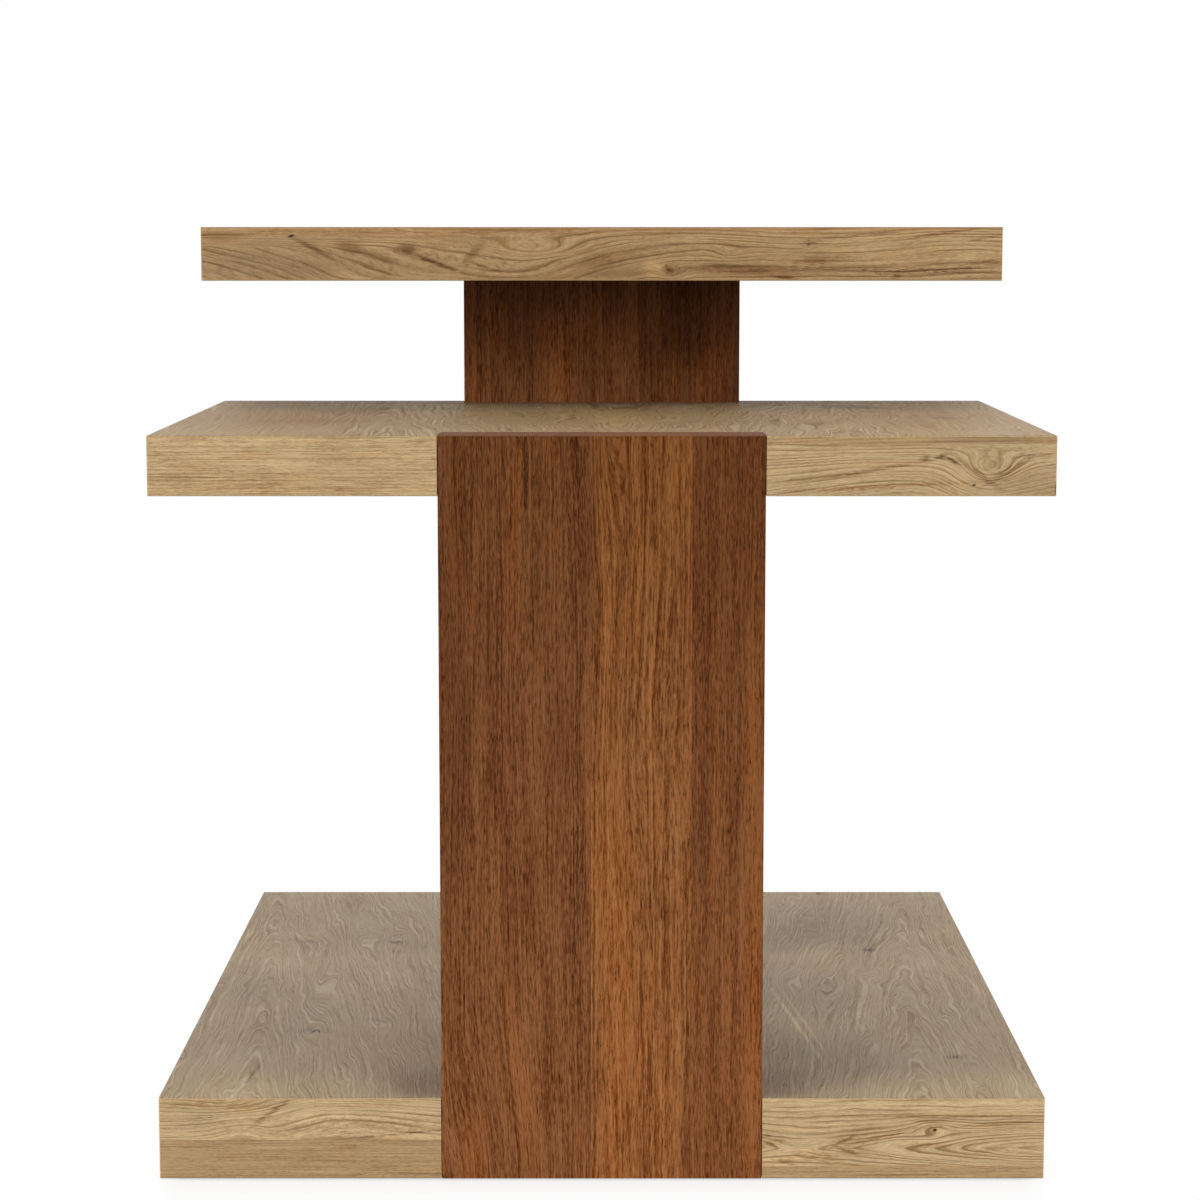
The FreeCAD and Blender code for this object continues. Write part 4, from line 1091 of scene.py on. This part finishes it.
def hand_over(piece, name, made, node):
    """Names a finished piece, gives it its finish and sets it in place of its node."""
    piece.name = piece.data.name = name
    piece.data.materials.clear()
    piece.data.materials.append(made)
    pick_up(piece)
    bpy.ops.object.shade_smooth_by_angle(angle=SMOOTH_BELOW)
    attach(piece, "root")
    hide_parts(node)


def six_volumes(piece):
    """Six times the volume of a closed piece; below zero if its faces look inward."""
    points, total = piece.data.vertices, 0.0
    piece.data.calc_loop_triangles()
    for face in piece.data.loop_triangles:
        first, second, third = (points[i].co for i in face.vertices)
        total += first.dot(second.cross(third))
    return total


def open_edges(piece):
    """Indices of the edges that have a face on one side only."""
    count = {}
    for face in piece.data.polygons:
        for key in face.edge_keys:
            count[key] = count.get(key, 0) + 1
    return {edge.index for edge in piece.data.edges
            if count.get(tuple(sorted(edge.vertices)), 0) == 1}


def threaded_shank(shank, start, end, pitch):
    """Screw thread from start to a tapered tip at end, on a screw that stands on the origin."""
    core, ridge, taper, slack, steps = shank * 0.36, shank * 0.14, shank * 0.7, 1e-5, 16
    thread = new_piece(bpy.ops.mesh.primitive_circle_add, vertices=4, radius=1,
                       location=(core, 0, start + pitch / 2), rotation=(QUARTER_TURN, 0, 0),
                       stretch=(ridge, pitch / 2, 1))
    mark(thread, "VERT", lambda place: place.x < core - ridge / 2)
    bpy.ops.mesh.delete(type="VERT")
    done_editing()
    wind = thread.modifiers.new("Thread", "SCREW")
    wind.axis = "Z"
    wind.angle = 2 * math.pi
    wind.screw_offset = pitch
    wind.iterations = int((end - taper - start) / pitch) - 1
    wind.steps = wind.render_steps = steps
    wind.use_merge_vertices = True
    wind.merge_threshold = NEAR
    bpy.ops.object.modifier_apply(modifier="Thread")
    top = max(point.co.z for point in thread.data.vertices)
    for low, high, tip in ((start, start + pitch, start + pitch / 2), (top - pitch, top, end)):
        # The open turn at this end is closed with a face, and its middle drawn out.
        mark(thread, "EDGE", lambda place: low - slack <= place.z <= high + slack,
             open_edges(thread))
        bpy.ops.mesh.edge_face_add()
        bpy.ops.mesh.poke()
        done_editing()
        middle = min(thread.data.vertices, key=lambda point: point.co.xy.length
                     + abs(point.co.z - (low + high) / 2))
        middle.co = (0, 0, tip)
    mark(thread, "VERT", lambda place: True)
    bpy.ops.mesh.remove_doubles(threshold=NEAR)
    bpy.ops.mesh.select_all(action="SELECT")
    bpy.ops.mesh.normals_make_consistent(inside=False)
    done_editing()
    if six_volumes(thread) < 0:
        mark(thread, "VERT", lambda place: True)
        bpy.ops.mesh.flip_normals()
        done_editing()
    return thread


def cross_head(head, height, shank):
    """Sunk cone head with a crossed recess that narrows inward."""
    throat, blade_size, taper = shank * 0.48, (head * 0.5, head * 0.1, height * 1.5), 0.55
    top = new_piece(bpy.ops.mesh.primitive_cone_add, vertices=48, radius1=head / 2,
                    radius2=throat, depth=height, location=(0, 0, height / 2))
    for turn in (1, 3):
        blade = new_piece(bpy.ops.mesh.primitive_cube_add, size=1, location=ORIGIN,
                          rotation=(0, 0, turn * math.pi / 4), stretch=blade_size)
        mark(blade, "VERT", lambda place: place.z > 0)
        bpy.ops.transform.resize(value=(taper, taper, 1), center_override=ORIGIN)
        done_editing()
        cut_out(top, blade)
    return top


def round_head(head, height):
    """Rounded cylinder head with a six-sided recess."""
    rounding, key_radius, key_depth = height * 0.28, head * 0.25, height * 1.3
    top = new_piece(bpy.ops.mesh.primitive_cylinder_add, vertices=48, radius=head / 2,
                    depth=height, location=(0, 0, height / 2))
    bevel(top, lambda place: place.z < NEAR, rounding, 4)
    cut_out(top, new_piece(bpy.ops.mesh.primitive_cylinder_add, vertices=6, radius=key_radius,
                           depth=key_depth, location=ORIGIN))
    return top


def screw(shank, length, head, height, pitch, sunk):
    """A wood screw that stands on its head at the origin; sunk says that its head is a cone."""
    top = cross_head(head, height, shank) if sunk else round_head(head, height)
    neck, inside, overlap = max(length * 0.28, height + pitch), height * 0.6, pitch * 0.6
    radius, rounding = shank * 0.44, shank * 0.05
    smooth = new_piece(bpy.ops.mesh.primitive_cylinder_add, vertices=32, radius=radius,
                       depth=neck - inside, location=(0, 0, (neck + inside) / 2))
    bevel(smooth, lambda place: place.z > neck - NEAR, rounding, 2)
    thread = threaded_shank(shank, neck - overlap, length, pitch)
    pick_up(top)
    smooth.select_set(True)
    thread.select_set(True)
    bpy.ops.object.join()
    return top


class TABLE_OT_screws(bpy.types.Operator):
    """Turn the wood screws with their heads, recesses and threads"""

    bl_idname = "table.screws"
    bl_label = "Screws"

    def execute(self, context):
        settings = context.scene.table_fitting
        zinc = zinc_plate(settings)
        pitch = settings.screw_thread
        for node, alike, shank, head_height, sunk, down, pairs, fine in (
                ("rear_foot_screws", "rear_foot_screws", 0.007, 0.004, False, False, 1, 1),
                ("plate_column_screws", "plate_column_screws", 0.005, 0.0023, True, True, 1, 0.8),
                ("plate_slab_screws", "plate_column_screws", 0.005, 0.0023, True, False, 2, 0.7)):
            low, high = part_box(node)
            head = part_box(alike)[1].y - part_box(alike)[0].y
            first = screw(shank, high.z - low.z, head, head_height, pitch * fine, sunk)
            first.rotation_euler = (math.pi if down else 0, 0, 0)
            first.location = (low.x + head / 2, low.y + head / 2, high.z if down else low.z)
            settle(first)
            pieces = in_pairs(first, high.x - low.x - head, high.y - low.y - head, pairs)
            for n, piece in enumerate(pieces):
                hand_over(piece, f"{node}_{n + 1}", zinc, node)
        return {"FINISHED"}


class TABLE_OT_dowels(bpy.types.Operator):
    """Turn the fluted beech dowels between the slabs and the front column"""

    bl_idname = "table.dowels"
    bl_label = "Dowels"

    def execute(self, context):
        settings = context.scene.table_fitting
        beech = beech_wood(settings)
        low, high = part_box("base_dowels")
        radius = (high.z - low.z) / 2
        middle = Vector((low.x + radius, (low.y + high.y) / 2, low.z + radius))
        first = new_piece(bpy.ops.mesh.primitive_cylinder_add, vertices=3 * settings.dowel_flutes,
                          radius=radius, depth=high.y - low.y, location=middle,
                          rotation=(QUARTER_TURN, 0, 0))
        step, half_flute, flute_floor = 2 * math.pi / settings.dowel_flutes, 0.12, 0.9

        def in_flute(place):
            turn = math.atan2(place.z - middle.z, place.x - middle.x) / step
            return abs(turn - round(turn)) < half_flute

        mark(first, "VERT", in_flute)
        bpy.ops.transform.resize(value=(flute_floor, 1, flute_floor), center_override=middle)
        done_editing()
        for end in (low.y, high.y):
            bevel(first, lambda place: abs(place.y - end) < NEAR, settings.dowel_chamfer, 2)
        across = high.x - low.x - 2 * radius
        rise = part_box("shelf_dowels")[0].z - low.z
        pieces = [first] + [copy_of(first, offset) for offset in
                            ((across, 0, 0), (0, 0, rise), (across, 0, rise))]
        for n, piece in enumerate(pieces):
            node = "base_dowels" if n < 2 else "shelf_dowels"
            hand_over(piece, f"{node}_{n % 2 + 1}", beech, node)
        return {"FINISHED"}


class TABLE_OT_pads(bpy.types.Operator):
    """Press the felt pads under the base"""

    bl_idname = "table.pads"
    bl_label = "Felt pads"

    def execute(self, context):
        settings = context.scene.table_fitting
        felt = wool_felt(settings)
        low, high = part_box("floor_pads")
        radius = settings.pad_width / 2
        first = new_piece(bpy.ops.mesh.primitive_cylinder_add, vertices=64, radius=radius,
                          depth=high.z - low.z,
                          location=(low.x + radius, low.y + radius, (low.z + high.z) / 2))
        for level in (low.z, high.z):
            bevel(first, lambda place: abs(place.z - level) < NEAR, settings.felt_round, 3)
        pads = in_pairs(first, high.x - low.x - 2 * radius, high.y - low.y - 2 * radius, 2)
        for n, pad in enumerate(pads):
            hand_over(pad, f"floor_pad_{n + 1}", felt, "floor_pads")
        return {"FINISHED"}


def seen_rays(g):
    """1 for what the camera, a reflection or a clear material sees."""
    path = g.add("LightPath").outputs
    return g.math("MAXIMUM", path["Is Camera Ray"],
                  g.math("MAXIMUM", path["Is Glossy Ray"], path["Is Transmission Ray"]))


def soft_box(scene, name, place, target, width, depth, level):
    """Rectangular soft box; at level 1 a surface that faces it renders as its colour is written."""
    lamp = bpy.data.lights.new(name, "AREA")
    lamp.shape = "RECTANGLE"
    lamp.size, lamp.size_y = width, depth
    aim = Vector(target) - Vector(place)
    lamp.energy = level * (math.pi * aim.length) ** 2
    box = bpy.data.objects.new(name, lamp)
    box.location = place
    box.rotation_euler = aim.to_track_quat("-Z", "Y").to_euler()
    scene.collection.objects.link(box)
    return box


FLOOR_SIZE = 8
CONTACT_REACH = 0.035           # metres from the base, as all of these
SHADOW_REACH = (0.05, 1.2)
SIDE_START = (-0.02, 0.004)     # where the shadow at the sides takes over from the front's
SIDE_CONTACT_WHITE, SIDE_SHADOW_WHITE = 0.95, 0.985
FLOOR_DARK, FLOOR_PALE = (0.86, 0.86, 0.86), (0.88, 0.88, 0.88)


def floor_paint(settings):
    """Matt near-white that shows plain white away from the table, and its shadow beside it."""
    made, g, here, _ = blank_material("floor")
    here = here["Object"]
    outside = g.vector("SUBTRACT", g.vector("ABSOLUTE", here), (CAD_BOX[1].x, CAD_BOX[1].y, 0))
    away = g.vector("LENGTH", g.vector("MAXIMUM", outside, ORIGIN))
    grain = g.noise(here, 3, 0.5, scale=40)
    paint = g.mix(g.step(grain, 0.3, 0.7), FLOOR_DARK, FLOOR_PALE)
    plain = g.add("BsdfDiffuse", {"Color": paint})
    white = g.add("Emission", {"Color": WHITE, "Strength": 1})
    beside = g.step(g.split(outside)[0], *SIDE_START)
    contact = g.step(beside, 0, 1, settings.contact_white, SIDE_CONTACT_WHITE)
    shadow = g.step(beside, 0, 1, settings.shadow_white, SIDE_SHADOW_WHITE)
    near = g.step(away, 0, CONTACT_REACH, contact, shadow)
    share = g.times(g.step(away, *SHADOW_REACH, near, 1), seen_rays(g))
    surface = g.add("MixShader", {0: share, 1: plain.outputs[0], 2: white.outputs[0]})
    g.add("OutputMaterial", {"Surface": surface.outputs[0]})
    return made


class TABLE_OT_stage(bpy.types.Operator):
    """Set the camera, the pale floor and the soft lights"""

    bl_idname = "table.stage"
    bl_label = "Stage"

    def execute(self, context):
        scene, settings = context.scene, context.scene.table_stage
        scene.view_settings.view_transform = "Standard"

        lens = bpy.data.cameras.new("camera")
        lens.sensor_width = SENSOR
        lens.lens = settings.focal
        lens.shift_x = settings.camera_shift
        camera = bpy.data.objects.new("camera", lens)
        camera.location = (0, CAD_BOX[0].y - settings.camera_back, settings.camera_height)
        camera.rotation_euler = (QUARTER_TURN - settings.camera_tilt, 0, 0)
        scene.collection.objects.link(camera)
        scene.camera = camera

        middle = (CAD_BOX[0] + CAD_BOX[1]) / 2
        for name, place, width, depth, level in (
                ("key_light", (0, -2.3, 2.3), 1.8, 1.4, settings.key_level),
                ("top_light", (0, 0, 2.8), 2.2, 2.2, settings.top_level),
                ("left_light", (-2.6, -1.2, 1.5), 1.6, 1.6, settings.left_level),
                ("right_light", (2.6, -1.2, 1.5), 1.6, 1.6, settings.right_level),
                ("back_light", (0, 2.6, 2), 2.2, 1.6, settings.back_level)):
            box = soft_box(scene, name, place, middle, width, depth, level)
            box.visible_glossy = name != "back_light"

        world = bpy.data.worlds.new("studio")
        scene.world = world
        world.use_nodes = True
        world.node_tree.nodes.clear()
        g = Graph(world.node_tree)
        strength = g.plus(settings.ambient, seen_rays(g), 1 - settings.ambient)
        light = g.add("Background", {"Color": WHITE, "Strength": strength})
        g.add("OutputWorld", {"Surface": light.outputs[0]})

        floor = new_piece(bpy.ops.mesh.primitive_plane_add, size=FLOOR_SIZE, location=ORIGIN)
        floor.name = "floor"
        floor.data.materials.append(floor_paint(settings))
        return {"FINISHED"}


class TABLE_PT_sidebar(bpy.types.Panel):
    """Steps that dress the table"""

    bl_idname = "TABLE_PT_sidebar"
    bl_label = "Stepped table"
    bl_space_type = "VIEW_3D"
    bl_region_type = "UI"
    bl_category = "Table"

    def draw(self, context):
        for step in STEPS:
            self.layout.operator(step.bl_idname)


STEPS = (TABLE_OT_stage, TABLE_OT_veneers, TABLE_OT_edges, TABLE_OT_columns, TABLE_OT_boards,
         TABLE_OT_screws, TABLE_OT_dowels, TABLE_OT_pads)
SETTINGS = (("table_oak", TableOakSettings), ("table_column", TableColumnSettings),
            ("table_fitting", TableFittingSettings), ("table_stage", TableStageSettings))


def register():
    for name, group in SETTINGS:
        bpy.utils.register_class(group)
        setattr(bpy.types.Scene, name, PointerProperty(type=group))
    for item in (*STEPS, TABLE_PT_sidebar):
        bpy.utils.register_class(item)


def unregister():
    for item in reversed((*STEPS, TABLE_PT_sidebar)):
        bpy.utils.unregister_class(item)
    for name, group in reversed(SETTINGS):
        delattr(bpy.types.Scene, name)
        bpy.utils.unregister_class(group)


def main():
    register()
    bpy.ops.table.stage()
    bpy.ops.table.veneers()
    bpy.ops.table.edges()
    bpy.ops.table.columns()
    bpy.ops.table.boards()
    bpy.ops.table.screws()
    bpy.ops.table.dowels()
    bpy.ops.table.pads()


if __name__ == "__main__":
    main()
